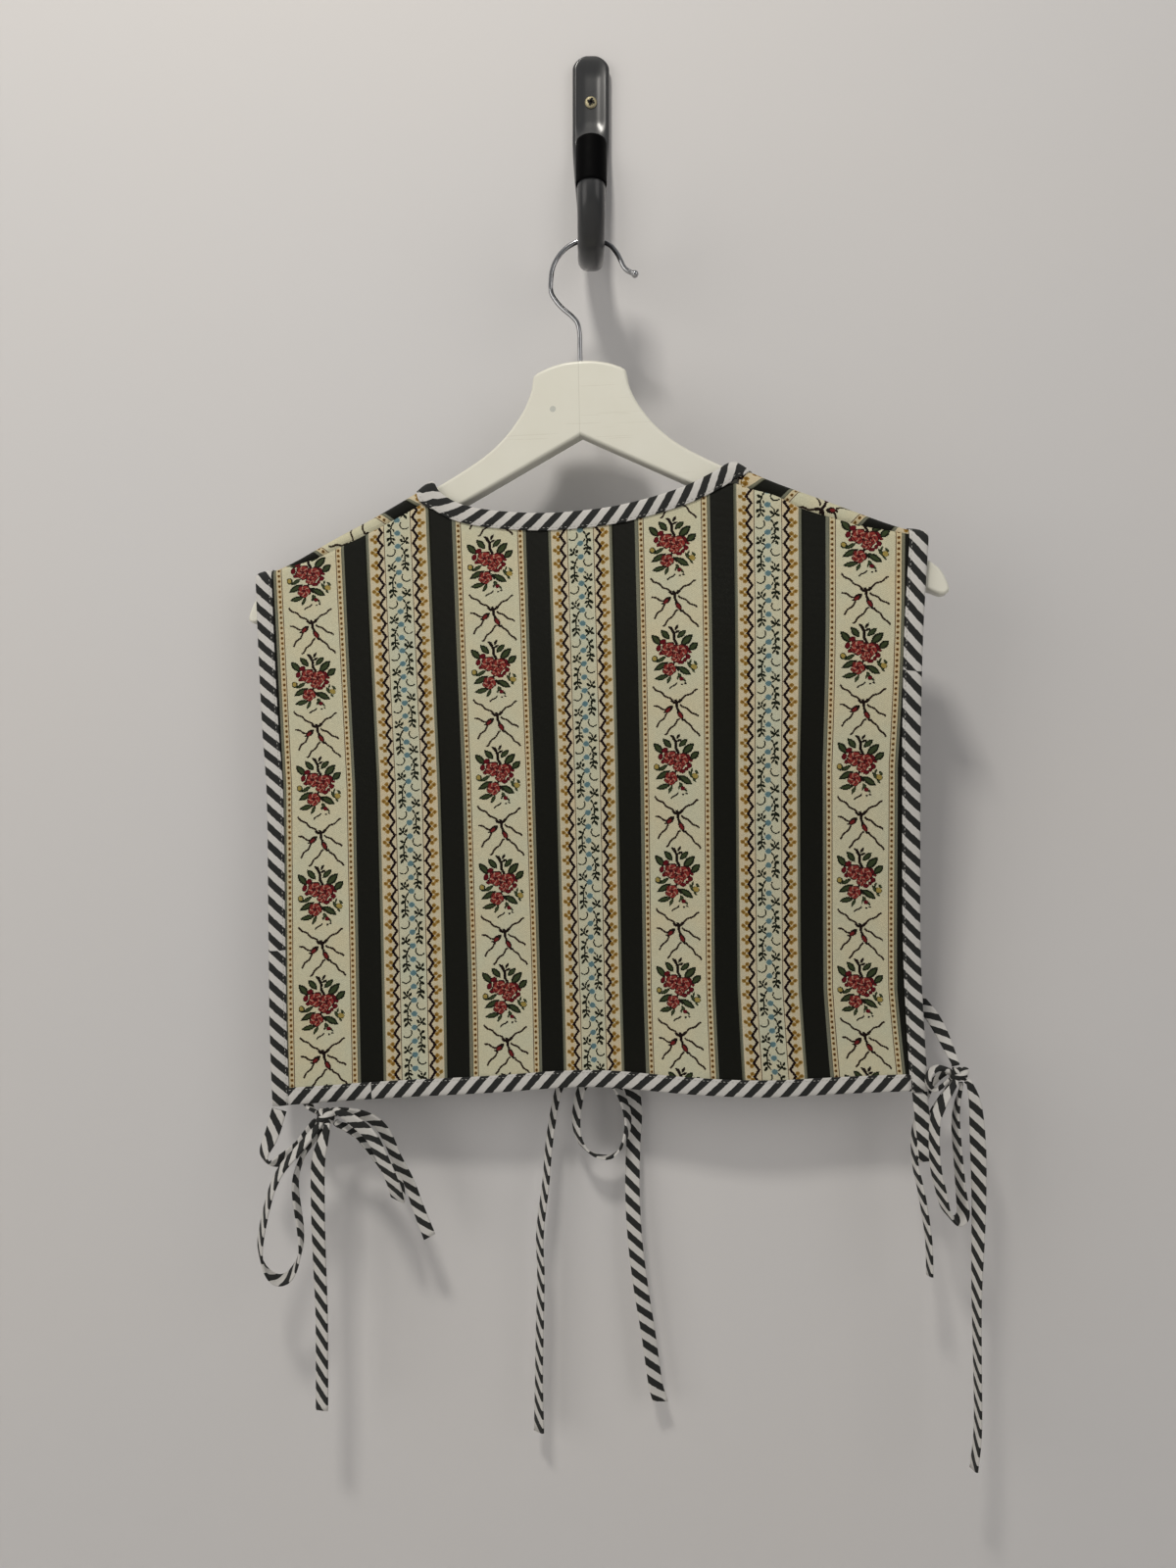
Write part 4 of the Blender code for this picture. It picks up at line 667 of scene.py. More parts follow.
def woven_rose(tree, under, place, x, y, radius):
    """A round rose: coral lobes parted by pale lines, with dark lines winding in to its heart."""
    along, aside = shape_axes(tree, place, x, y, radius, radius, 0)
    square = add_node(tree, "Math", [aside, aside], operation="MULTIPLY")
    far = add_node(tree, "Math", [along, along, square], operation="MULTIPLY_ADD")
    far = add_node(tree, "Math", [far], operation="SQRT")
    angle = add_node(tree, "Math", [aside, along], operation="ARCTAN2")
    swept = add_node(tree, "Math", [far, 0.9, angle], operation="MULTIPLY_ADD")
    lobes = add_node(tree, "Math", [swept, 5.0], operation="MULTIPLY")
    lobes = add_node(tree, "Math", [lobes], operation="COSINE")
    edge = add_node(tree, "Math", [lobes, 0.08, far], operation="MULTIPLY_ADD")
    turns = add_node(tree, "Math", [angle, 1 / (2 * math.pi)], operation="MULTIPLY")
    spiral = add_node(tree, "Math", [far, 2.2, turns], operation="MULTIPLY_ADD")
    spiral = add_node(tree, "Math", [spiral], operation="FRACT")
    rose = lay(tree, "#8c3430", spiral, "#4a0f14", 0.30)
    rose = lay(tree, "#b58a7a", lobes, rose, 0.80)
    heart = lay(tree, rose, far, "#4a0f14", 0.24)
    outlined = lay(tree, under, edge, "#2c0a0d")
    return lay(tree, outlined, edge, heart, 0.88)


def stripe_colours(tree, aside):
    """The ground's stripes, from the middle of a floral stripe to the middle of the narrow band."""
    share = add_node(tree, "Math", [aside, 2 / REPEAT_ACROSS], operation="MULTIPLY")
    ground = add_node(tree, "ValToRGB", [share])
    ramp = ground.node.color_ramp
    ramp.interpolation = "CONSTANT"
    for i, (at, colour) in enumerate(STRIPE_LAYOUT):
        stop = ramp.elements[i] if i < 2 else ramp.elements.new(at * 2 / REPEAT_ACROSS)
        stop.position, stop.color = at * 2 / REPEAT_ACROSS, linear(colour)
    return ground


def jacquard():
    """Cotton jacquard with satin stripes: matt ribbed cream, sleek dark stripes, raised figures."""
    mat, tree, shader = new_material("cotton jacquard", {"Sheen Weight": 0.03,
                                                         "Specular IOR Level": 0.12})
    uv = add_node(tree, "UVMap", uv_map="cloth")
    stepped = add_node(tree, "VectorMath", [uv, (THREAD, THREAD, 1.0)], operation="SNAP")
    across, down, _ = add_node(tree, "SeparateXYZ", [stepped], None)
    half_across, half_down = REPEAT_ACROSS / 2, REPEAT_DOWN / 2
    x = add_node(tree, "Math", [across, half_across, -half_across], operation="WRAP")
    y = add_node(tree, "Math", [down, half_down, -half_down], operation="WRAP")
    aside = add_node(tree, "Math", [x], operation="ABSOLUTE")
    colour = stripe_colours(tree, aside)

    bouquet = add_node(tree, "CombineXYZ", [x, y, 1.0])
    leaves = field_of(tree, bouquet, LEAVES)
    stems = field_of(tree, bouquet, STEMS)
    buds = field_of(tree, bouquet, BUDS)
    petals = field_of(tree, bouquet, PETALS)
    for field, yarn, reach in ((stems, "#150b07", 1.0), (leaves, "#141b0c", 1.0),
                               (leaves, "#38432a", 0.5), (buds, "#1b2110", 1.0),
                               (buds, "#a08d4e", 0.75), (petals, "#230408", 1.0),
                               (petals, "#5f0c18", 0.7)):
        colour = lay(tree, colour, field, yarn, reach)
    for rose in ROSES:
        colour = woven_rose(tree, colour, bouquet, *rose)

    below = add_node(tree, "Math", [down, REPEAT_DOWN, 0.0], operation="WRAP")
    below = add_node(tree, "Math", [below, half_down], operation="SUBTRACT")
    between = add_node(tree, "CombineXYZ", [x, below, 1.0])
    sprig = field_of(tree, between, SPRIG)
    colour = lay(tree, colour, field_of(tree, between, TENDRILS), "#2a1d15")
    colour = lay(tree, colour, sprig, "#180c08")
    colour = lay(tree, colour, field_of(tree, between, SPRIG_HEARTS), "#6e1f20")

    dot_half = REPEAT_DOWN / BORDER_DOTS / 2
    dot_down = add_node(tree, "Math", [down, dot_half, -dot_half], operation="WRAP")
    dots = field_of(tree, add_node(tree, "CombineXYZ", [aside, dot_down, 1.0]), BORDER_DOT)
    colour = lay(tree, colour, dots, "#94703a")
    colour = lay(tree, colour, dots, "#4a2f18", 0.45)

    band = add_node(tree, "Math", [across, REPEAT_ACROSS, 0.0], operation="WRAP")
    band = add_node(tree, "Math", [band, half_across], operation="SUBTRACT")
    from_middle = add_node(tree, "Math", [band], operation="ABSOLUTE")
    pitch = REPEAT_DOWN / ZIGZAGS
    lagging = add_node(tree, "Math", [down, TREFOIL_LAG], operation="ADD")
    ramp = add_node(tree, "Math", [lagging, pitch / 2], operation="ADD")
    ramp = add_node(tree, "Math", [ramp, pitch / 2], operation="PINGPONG")
    off = add_node(tree, "Math", [ramp, -2 * ZIGZAG_REACH / pitch, from_middle],
                   operation="MULTIPLY_ADD")
    off = add_node(tree, "Math", [off, -ZIGZAG_IN], operation="ADD")
    off = add_node(tree, "Math", [off], operation="ABSOLUTE")
    colour = lay(tree, colour, off, "#140406", 0.98)
    trefoil_down = add_node(tree, "Math", [lagging, pitch / 2, -pitch / 2], operation="WRAP")
    trefoil_place = add_node(tree, "CombineXYZ", [from_middle, trefoil_down, 1.0])
    trefoils = field_of(tree, trefoil_place, TREFOIL)
    colour = lay(tree, colour, trefoils, "#9a7a3c")
    colour = lay(tree, colour, trefoils, "#7a5a24", 0.3)

    swing = add_node(tree, "Math", [down, 2 * math.pi / (4 * pitch)], operation="MULTIPLY")
    swing = add_node(tree, "Math", [swing], operation="SINE")
    side = add_node(tree, "Math", [swing], operation="SIGN")
    vine_x = add_node(tree, "Math", [band, side], operation="MULTIPLY")
    vine_y = add_node(tree, "Math", [down, 2 * pitch, 0.0], operation="WRAP")
    vine_y = add_node(tree, "Math", [vine_y, pitch], operation="SUBTRACT")
    vine_place = add_node(tree, "CombineXYZ", [vine_x, vine_y, 1.0])
    vine = field_of(tree, vine_place, VINE)
    dot_y = add_node(tree, "Math", [down, pitch / 2, -pitch / 2], operation="WRAP")
    blue = field_of(tree, add_node(tree, "CombineXYZ", [band, dot_y, 1.0]), BLUE_DOT)
    colour = lay(tree, colour, blue, "#b9c2b9", 1.5)
    colour = lay(tree, colour, blue, "#5d7b85")
    colour = lay(tree, colour, vine, "#12170b")

    # Yarn: patches a little warmer or cooler, and threads that differ from their neighbours
    patches = add_node(tree, "TexNoise", {"Vector": uv, "Scale": 0.04, "Detail": 3.0})
    tint = add_node(tree, "Mix", {0: patches, 6: "#e6f4f4", 7: "#fff0d8"}, 2, data_type="RGBA")
    colour = add_node(tree, "Mix", {0: 0.8, 6: colour, 7: tint}, 2, data_type="RGBA",
                      blend_type="MULTIPLY")
    yarn = add_node(tree, "TexWhiteNoise", [stepped], noise_dimensions="2D")
    yarn = add_node(tree, "Math", [yarn, 0.16, 0.90], operation="MULTIPLY_ADD")
    colour = add_node(tree, "VectorMath", {0: colour, "Scale": yarn}, operation="SCALE")

    # The satin is the sleeker; it lies to either side of the floral stripe's middle
    satin = add_node(tree, "Math", [aside, SATIN_MIDDLE, SATIN_HALF_WIDTH], operation="COMPARE")
    rough = add_node(tree, "Math", [satin, -0.30, 0.84], operation="MULTIPLY_ADD")

    # Ribs run slantwise on the cream and straight on the satin, both coarser so that they show
    fine_across, fine_down, _ = add_node(tree, "SeparateXYZ", [uv], None)
    slant = add_node(tree, "Math", [fine_across, 0.6, fine_down], operation="MULTIPLY_ADD")
    slant = add_node(tree, "Math", [slant, 2 * math.pi / CREAM_RIB], operation="MULTIPLY")
    slant = add_node(tree, "Math", [slant], operation="SINE")
    rib = add_node(tree, "Math", [fine_down, 2 * math.pi / SATIN_RIB], operation="MULTIPLY")
    rib = add_node(tree, "Math", [rib], operation="SINE")
    relief = add_node(tree, "Mix", {0: satin, 2: slant, 3: rib})
    bump = add_node(tree, "Bump", {"Strength": 0.5, "Distance": 0.00008, "Height": relief})
    connect(tree, shader, colour, rough, bump)
    return mat


def jacquard_wrong_side():
    """Wrong side of the jacquard: loose floats of every colour drawn across, streaky and dull."""
    mat, tree, shader = new_material("jacquard wrong side", {"Roughness": 0.9, "Sheen Weight": 0.1})
    uv = add_node(tree, "UVMap", uv_map="cloth")
    across, down, _ = add_node(tree, "SeparateXYZ", [uv], None)
    x = add_node(tree, "Math", [across, REPEAT_ACROSS / 2, -REPEAT_ACROSS / 2], operation="WRAP")
    aside = add_node(tree, "Math", [x], operation="ABSOLUTE")
    ground = stripe_colours(tree, aside)
    floats = add_node(tree, "TexNoise", {
        "Vector": add_node(tree, "VectorMath", [uv, (0.06, 1.4, 1.0)], operation="MULTIPLY"),
        "Scale": 1.0, "Detail": 3.0})
    streak = add_node(tree, "Math", [floats, 0.5], operation="LESS_THAN")
    colour = add_node(tree, "Mix", {0: streak, 6: ground, 7: "#4b3a2c"}, 2, data_type="RGBA")
    colour = add_node(tree, "Mix", {0: 0.55, 6: colour, 7: "#8b8470"}, 2, data_type="RGBA")
    bump = add_node(tree, "Bump", {"Strength": 0.4, "Distance": 0.0001, "Height": floats})
    connect(tree, shader, colour, bump=bump)
    return mat


TAPE_PERIOD = 11.6
TAPE_WEAVE = 0.7


def bias_tape():
    """Bias tape: plain-woven cotton, its stripes yarn-dyed, crisp and matt with a pressed fold."""
    mat, tree, shader = new_material("striped bias tape", {"Roughness": 0.82, "Sheen Weight": 0.05,
                                                           "Specular IOR Level": 0.25})
    uv = add_node(tree, "UVMap", uv_map="cloth")
    along, across, _ = add_node(tree, "SeparateXYZ", [uv], None)
    wander = add_node(tree, "TexNoise", {"Vector": uv, "Scale": 0.35, "Detail": 1.0})
    place = add_node(tree, "Math", [along, across], operation="ADD")
    place = add_node(tree, "Math", [wander, 0.9, place], operation="MULTIPLY_ADD")
    phase = add_node(tree, "Math", [place, TAPE_PERIOD, 0.0], operation="WRAP")
    dark = add_node(tree, "Math", [phase, 0.5 * TAPE_PERIOD], operation="LESS_THAN")
    colour = add_node(tree, "Mix", {0: dark, 6: "#c8c6c1", 7: "#252625"}, 2, data_type="RGBA")
    yarn = add_node(tree, "TexNoise", {"Vector": uv, "Scale": 2.6, "Detail": 2.0})
    yarn = add_node(tree, "Math", [yarn, 0.35, 0.82], operation="MULTIPLY_ADD")
    colour = add_node(tree, "VectorMath", {0: colour, "Scale": yarn}, operation="SCALE")

    # Plain weave on the bias, drawn coarser so that it shows
    crossed = []
    for way in (1.0, -1.0):
        run = add_node(tree, "Math", [across, way, along], operation="MULTIPLY_ADD")
        run = add_node(tree, "Math", [run, 2 * math.pi / TAPE_WEAVE], operation="MULTIPLY")
        crossed.append(add_node(tree, "Math", [run], operation="SINE"))
    weave = add_node(tree, "Math", crossed, operation="ADD")
    bump = add_node(tree, "Bump", {"Strength": 0.35, "Distance": 0.00006, "Height": weave})
    connect(tree, shader, colour, bump=bump)
    return mat


def sewing_thread():
    """Spun polyester thread: pale, slightly lustrous, with its ply seen as fine slants."""
    return mottled("sewing thread", {"Roughness": 0.5, "Sheen Weight": 0.3}, 900.0, 2.0,
                   ("#8f8f8a", "#c9c8c0"), relief=(0.3, 0.00003))[0]


DIMPLE = (-0.0236, -0.0490, -0.2012)
DIMPLE_RADIUS = 0.0019
JOINT_AT = -0.0113
JOINT_HALF_WIDTH = 0.0002


def lacquered_wood():
    """White lacquer sprayed on beech: an even silky coat, its grain just telling through."""
    mat, tree, shader = new_material("white lacquered beech", {"Coat Weight": 0.25,
                                                               "Coat Roughness": 0.25})
    place = add_node(tree, "TexCoord", output="Object")
    grain_place = add_node(tree, "Mapping", [place, None, (0, math.radians(1), 0), (18, 60, 700)])
    grain = add_node(tree, "TexNoise", {"Vector": grain_place, "Scale": 1.0, "Detail": 4.0})
    patches = add_node(tree, "TexNoise", {"Vector": place, "Scale": 28.0, "Detail": 3.0})
    colour = add_node(tree, "Mix", {0: patches, 6: "#e3e2d6", 7: "#d6d4c4"}, 2, data_type="RGBA")
    speck = add_node(tree, "Math", [grain, 0.33], operation="LESS_THAN")
    speck = add_node(tree, "Math", [speck, 0.18], operation="MULTIPLY")
    colour = add_node(tree, "Mix", {0: speck, 6: colour, 7: "#b6b09a"}, 2, data_type="RGBA")
    off = add_node(tree, "VectorMath", [place, DIMPLE], 1, operation="DISTANCE")
    dimple = add_node(tree, "Math", [off, DIMPLE_RADIUS], operation="LESS_THAN")
    colour = add_node(tree, "Mix", {0: dimple, 6: colour, 7: "#bdbfb6"}, 2, data_type="RGBA")
    off = add_node(tree, "VectorMath", [place, (1.0, 0.0, HANGER_TIP)], 1,
                   operation="DOT_PRODUCT")
    joint = add_node(tree, "Math", [off, JOINT_AT, JOINT_HALF_WIDTH], operation="COMPARE")
    joint = add_node(tree, "Math", [joint, 0.35], operation="MULTIPLY")
    colour = add_node(tree, "Mix", {0: joint, 6: colour, 7: "#a9a592"}, 2, data_type="RGBA")
    rough = add_node(tree, "Math", [patches, 0.20, 0.30], operation="MULTIPLY_ADD")
    bump = add_node(tree, "Bump", {"Strength": 0.25, "Distance": 0.0001, "Height": grain})
    connect(tree, shader, colour, rough, bump)
    return mat


def coated_steel():
    """Epoxy powder coat on steel tube: dark grey and glossy, with a faint orange peel."""
    mat, tree, shader = mottled(
        "glossy powder coat",
        {"Coat Weight": 0.35, "Coat Roughness": 0.2, "Specular IOR Level": 0.25},
        70.0, 5.0, ("#38393a", "#2e2f30"), (0.22, 0.20))
    place = add_node(tree, "TexCoord", output="Object")
    peel = add_node(tree, "TexNoise", {"Vector": place, "Scale": 420.0, "Detail": 2.0})
    bump = add_node(tree, "Bump", {"Strength": 0.12, "Distance": 0.0002, "Height": peel})
    tree.links.new(bump, shader.inputs["Normal"])
    return mat


def moulded_rubber():
    """Dipped black rubber: deep black, satin, with handling marks a shade greyer."""
    return mottled("black rubber", {"IOR": 1.52, "Specular IOR Level": 0.03}, 160.0, 4.0,
                   ("#020202", "#070708"), (0.3, 0.45), (0.15, 0.0002))[0]


def plated_metal(name, colours, scale, rough):
    """Plated steel: its own tint, fine draw or turning marks, a little duller in patches."""
    return mottled(name, {"Metallic": 1.0}, scale, 4.0, colours, (0.2, rough), (0.08, 0.0001))[0]


def shadowed_recess():
    """Painted shadow in the screw's cross: near black, and dull."""
    return new_material("shadowed recess", {"Base Color": "#0b0a08", "Roughness": 0.9})[0]


# Panels

def pattern_place(x, z):
    """Where a point on the back falls in the cloth's pattern, in millimetres of cloth."""
    columns = []
    for i in range(4):
        n = max(k for k in range(len(STRIPES) - 1) if k == 0 or z < STRIPES[k][1][i][1] * MM)
        (upper, above), (lower, below) = STRIPES[n], STRIPES[n + 1]
        a, b = above[i], below[i]
        share = (a[1] * MM - z) / ((a[1] - b[1]) * MM)
        columns.append((a[0] + (b[0] - a[0]) * share, upper + (lower - upper) * share))
    at = x / MM
    i = 0 if at < columns[1][0] else 1 if at < columns[2][0] else 2
    (left, left_row), (right, right_row) = columns[i], columns[i + 1]
    share = (at - left) / (right - left)
    return (i + share) * REPEAT_ACROSS, (left_row + (right_row - left_row) * share) * REPEAT_DOWN


TUCK_DEPTH = 0.0009
TUCK_REACH = 0.0014
SEAM_CLEAR = 0.0001
SEAM_ROWS = 8
SEAM_ROW = 0.0005
SETTLING_PASSES = 4


def tuck(distance):
    """How far the cloth is drawn in beside a seam."""
    return -TUCK_DEPTH * math.exp(-(distance / TUCK_REACH) ** 2)


def down_from_seam(top, bottom, down, rows):
    """Fine rows beside the seam, then even ones to the hem."""
    row = round(down * rows)
    if row <= SEAM_ROWS:
        return top + math.copysign(SEAM_ROW * row, bottom)
    start = top + math.copysign(SEAM_ROW * SEAM_ROWS, bottom)
    return start + (bottom - start) * (row - SEAM_ROWS) / (rows - SEAM_ROWS)


BACK_ROWS = 128
BACK_COLUMNS = 150
NECK_END = 0.014


def back_place(across, down):
    """Where a corner of the back's grid lies, with its place in the pattern."""
    def starts(z):
        return outer_edge(-1.0, z) + PANEL_INSET

    def ends(z):
        return outer_edge(1.0, z) - PANEL_INSET

    x_top = starts(EDGE_TOP) + (ends(EDGE_TOP) - starts(EDGE_TOP)) * across
    left, right = NECK_CORNERS
    seam = seam_place(x_top) + SEAM_CLEAR
    top = seam
    if left < x_top < right:
        top = neck_place(x_top) + PANEL_INSET
        if min(x_top - left, right - x_top) < NECK_END:
            top = max(top, seam)
    x = x_top
    for _ in range(SETTLING_PASSES - 1):
        bottom = place_of(x, hem_height(x) + PANEL_INSET)
        t = down_from_seam(top, bottom, down, BACK_ROWS)
        x = spread(x_top, height_of(x, t), starts, ends)
    normal = cloth_normal(x, t)
    point = on_cloth(x, t) + normal * (tuck(t - seam) if top == seam else 0.0)
    return point, pattern_place(x, height_of(x, t)), normal


FRONT_WRAP = 34
FRONT_ROWS = 110
FRONT_STRIP = 44
FRONT_COLUMNS = 78
FRONT_FLORAL = {-1.0: -0.159, 1.0: 0.147}
FRONT_RISE = 19.0


def front_pattern(x, t, side):
    """Pattern place on a front, as if it were laid flat past the shoulder fold."""
    floral = FRONT_FLORAL[side]
    if t < 0:
        return (floral - x) / MM, height_of(x, t) / MM + FRONT_RISE
    step = 0.004
    slope = math.atan2(fold_height(x + step) - fold_height(x - step), 2 * step)
    flat_x, flat_z = x - t * math.sin(2 * slope), fold_height(x) + t * math.cos(2 * slope)
    return (floral - flat_x) / MM, flat_z / MM + FRONT_RISE


def front_place(side):
    """Places the grid of one front: the strip over the shoulder first, then the rest below it."""
    def starts(z):
        return outer_edge(side, z) - side * PANEL_INSET

    def ends(z):
        return front_inner(z, side) + side * PANEL_INSET

    corner = neck_corner(side) + side * PANEL_INSET
    neck_edge = front_neck_table(side)

    def place(across, down):
        column, row = round(across * FRONT_COLUMNS), round(down * (FRONT_WRAP + FRONT_ROWS))
        start = starts(EDGE_TOP)
        if column <= FRONT_STRIP:
            x_top = start + (corner - start) * column / FRONT_STRIP
            seam = seam_place(x_top) - SEAM_CLEAR
            top = WRAP_END
        else:
            share = (column - FRONT_STRIP) / (FRONT_COLUMNS - FRONT_STRIP)
            x_top = corner + (ends(EDGE_TOP) - corner) * share
            if row < FRONT_WRAP:
                return None
            x, step = x_top, 0.001
            for _ in range(SETTLING_PASSES):
                slope = (neck_edge(x + step) - neck_edge(x - step)) / (2 * step)
                top = neck_edge(x) - PANEL_INSET * math.hypot(1.0, slope)
                x = spread(x_top, height_of(x, top), starts, ends)
        if row < FRONT_WRAP:
            if row <= SEAM_ROWS:
                t = seam - SEAM_ROW * row
            else:
                first = seam - SEAM_ROW * SEAM_ROWS
                t = first + (WRAP_END - first) * (row - SEAM_ROWS) / (FRONT_WRAP - SEAM_ROWS)
            x = spread(x_top, height_of(x_top, t), starts, ends)
        else:
            x = x_top
            for _ in range(SETTLING_PASSES):
                bottom = place_of(x, hem_height(x) + FRONT_HEM_RISE + PANEL_INSET, -1.0)
                t = top + (bottom - top) * (row - FRONT_WRAP) / FRONT_ROWS
                x = spread(x_top, height_of(x, t), starts, ends)
        normal = cloth_normal(x, t)
        drawn = tuck(seam - t) if column <= FRONT_STRIP else 0.0
        return on_cloth(x, t) + normal * drawn, front_pattern(x, t, side), normal

    return place


def add_panels(right_side, wrong_side):
    back = add_piece("back_cloth", woven_grid(BACK_COLUMNS, BACK_ROWS, back_place),
                     [right_side, wrong_side], ["back_panel"])
    thicken(back, CLOTH, 1)
    fronts = []
    for side, word in SIDES:
        bm = woven_grid(FRONT_COLUMNS, FRONT_WRAP + FRONT_ROWS, front_place(side))
        front = add_piece(f"front_cloth_{word}", bm, [right_side, wrong_side],
                          [f"front_panel_{word}"])
        thicken(front, CLOTH, 1)
        fronts.append(front)
    return back, fronts


# Bindings

# Middle of the folded tape's wall: in from its outer edge, out from the cloth
TAPE_PROFILE = [(10.9, 0.95), (10.3, 1.00), (9.4, 1.10), (8.4, 1.34), (6.8, 1.55), (4.8, 1.62),
                (2.8, 1.58), (1.5, 1.40), (0.75, 1.05), (0.46, 0.55), (0.42, 0.0)]
STITCH_IN = 9.5
STITCH_OUT = 1.58
STITCH_PITCH = 2.6
STITCH_START = 1.3
STITCH_STOP = 1.0
STITCH_SIZE = (0.00085, 0.00022, 0.00016)
STITCH_BATCH = 24
BINDING_CLEAR = 0.0004
FOLD_CLEAR = 0.0002

# Back neck binding just below the fold: in from its end and down the cloth, left and right
NECK_TURNS = ((0.0004, 0.0050), (0.0014, 0.0042))
FRONT_NECK_TURN = (0.0004, 0.0055)

# Piecing seams: share of the way along the binding, and how far the stripes jump there
HEM_JOIN = [(0.137, 5.0)]
SIDE_JOINS = {-1.0: [(0.79, 4.6)], 1.0: [(0.36, 5.2)]}
stitch_spots = []


def binding_rows():
    half = [(w * MM, h * MM) for w, h in TAPE_PROFILE]
    return half + [(w, -h) for w, h in half[-2::-1]]


def add_binding(name, path, towards, slant, mat, joins=()):
    """A tape folded round an edge, its lips towards the cloth; the path holds x and t."""
    last = len(path) - 1
    points = [on_cloth(x, t) for x, t in path]
    half = last // 2
    across = cloth_normal(*path[half]).cross(points[half + 1] - points[half - 1])
    inward = 1.0 if across.dot(Vector(towards)) > 0 else -1.0
    frames, run = [], [0.0]
    for i, (x, t) in enumerate(path):
        along = (points[min(i + 1, last)] - points[max(i - 1, 0)]).normalized()
        into = cloth_normal(x, t).cross(along).normalized() * inward
        by_x, by_t = slopes(x, t)
        mixed = by_x.dot(by_t)
        area = by_x.dot(by_x) * by_t.dot(by_t) - mixed**2
        frames.append(((by_t.dot(by_t) * by_x.dot(into) - mixed * by_t.dot(into)) / area,
                       (by_x.dot(by_x) * by_t.dot(into) - mixed * by_x.dot(into)) / area))
        if i:
            run.append(run[-1] + (points[i] - points[i - 1]).length / MM)
    rows = binding_rows()
    round_tape = [0.0]
    for (w0, h0), (w1, h1) in zip(rows, rows[1:]):
        round_tape.append(round_tape[-1] + math.hypot(w1 - w0, h1 - h0) / MM)

    def spot(i, w, h):
        (x, t), (go_x, go_t) = path[i], frames[i]
        at = (x + go_x * w, t + go_t * w)
        normal = cloth_normal(*at)
        return on_cloth(*at) + normal * h, normal

    def place(across, down):
        i, j = round(across * last), round(down * (len(rows) - 1))
        w, h = rows[j]
        point, normal = spot(i, w, h)
        way = normal if j < len(TAPE_PROFILE) else -normal
        return point, (run[i], slant * round_tape[j]), way

    bm = woven_grid(last, len(rows) - 1, place, joins=joins)
    tape = add_piece(name.replace("binding", "tape"), bm, [mat], [name])
    thicken(tape, TAPE_WALL)
    for face in (1.0, -1.0):
        at = STITCH_START
        while at < run[-1] - STITCH_STOP:
            i = max(n for n in range(last) if run[n] <= at)
            share = (at - run[i]) / (run[i + 1] - run[i])
            a, normal = spot(i, STITCH_IN * MM, face * STITCH_OUT * MM)
            b, _ = spot(i + 1, STITCH_IN * MM, face * STITCH_OUT * MM)
            stitch_spots.append((a.lerp(b, share), (b - a).normalized(), normal * face))
            at += STITCH_PITCH
    return tape


def side_path(side, face):
    """Down the open side, closest at the fold, on the back if face is 1 and the front if -1."""
    top_x = outer_edge(side, EDGE_TOP)
    rise = 0.0 if face > 0 else FRONT_HEM_RISE
    end = place_of(outer_edge(side, HEM_HEIGHT), hem_height(outer_edge(side, HEM_HEIGHT)) + rise)
    steps = 100
    path = []
    for n in range(steps + 1):
        share = n / steps
        t = FOLD_CLEAR + (end - FOLD_CLEAR) * (0.55 * share + 0.45 * share**2)
        path.append((outer_edge(side, min(height_of(top_x, t), EDGE_TOP)), face * t))
    return path


def hem_path(face, side=0.0):
    """Along the hem between the side bindings, or on one front between them and the opening."""
    margin = BINDING_WIDTH + BINDING_CLEAR
    left, right = outer_edge(-1.0, HEM_HEIGHT) + margin, outer_edge(1.0, HEM_HEIGHT) - margin
    if face < 0:
        clear = centre_line(HEM_HEIGHT) + side * (OPENING_GAP + margin)
        left, right = (left, clear) if side < 0 else (clear, right)
    rise = FRONT_HEM_RISE if face < 0 else 0.0
    steps = 120 if face > 0 else 60
    stations = [left + (right - left) * n / steps for n in range(steps + 1)]
    return [(x, place_of(x, hem_height(x) + rise, face)) for x in stations]


def back_neck_path():
    """The back neck edge, each end carried up to the fold."""
    (first, last), (left, right) = NECK_CORNERS, NECK_TURNS
    knots = [(first, FOLD_CLEAR), (first + left[0], left[1])]
    knots += [(x * MM, neck_place(x * MM)) for x, _ in BACK_NECK[1:-1]]
    knots += [(last - right[0], right[1]), (last, FOLD_CLEAR)]
    return curve_through(knots, 7)


def front_neck_path(side):
    """The front neck edge from the fold to the opening."""
    knots = front_neck_knots(side)
    inward, down = FRONT_NECK_TURN
    knots[0] = (knots[0][0], -FOLD_CLEAR)
    knots.insert(1, (knots[0][0] - side * inward, -down))
    return curve_through(knots, 9)


def front_edge_path(side):
    """Down the centre opening, from under the neck binding to the hem."""
    start = front_neck_knots(side)[-1][1] - BINDING_WIDTH - BINDING_CLEAR
    x = front_inner(HEM_HEIGHT, side)
    end = place_of(x, hem_height(x) + FRONT_HEM_RISE, -1.0)
    steps = 70
    path = []
    for n in range(steps + 1):
        t = start + (end - start) * n / steps
        path.append((front_inner(height_of(path[-1][0] if path else x, t), side), t))
    return path


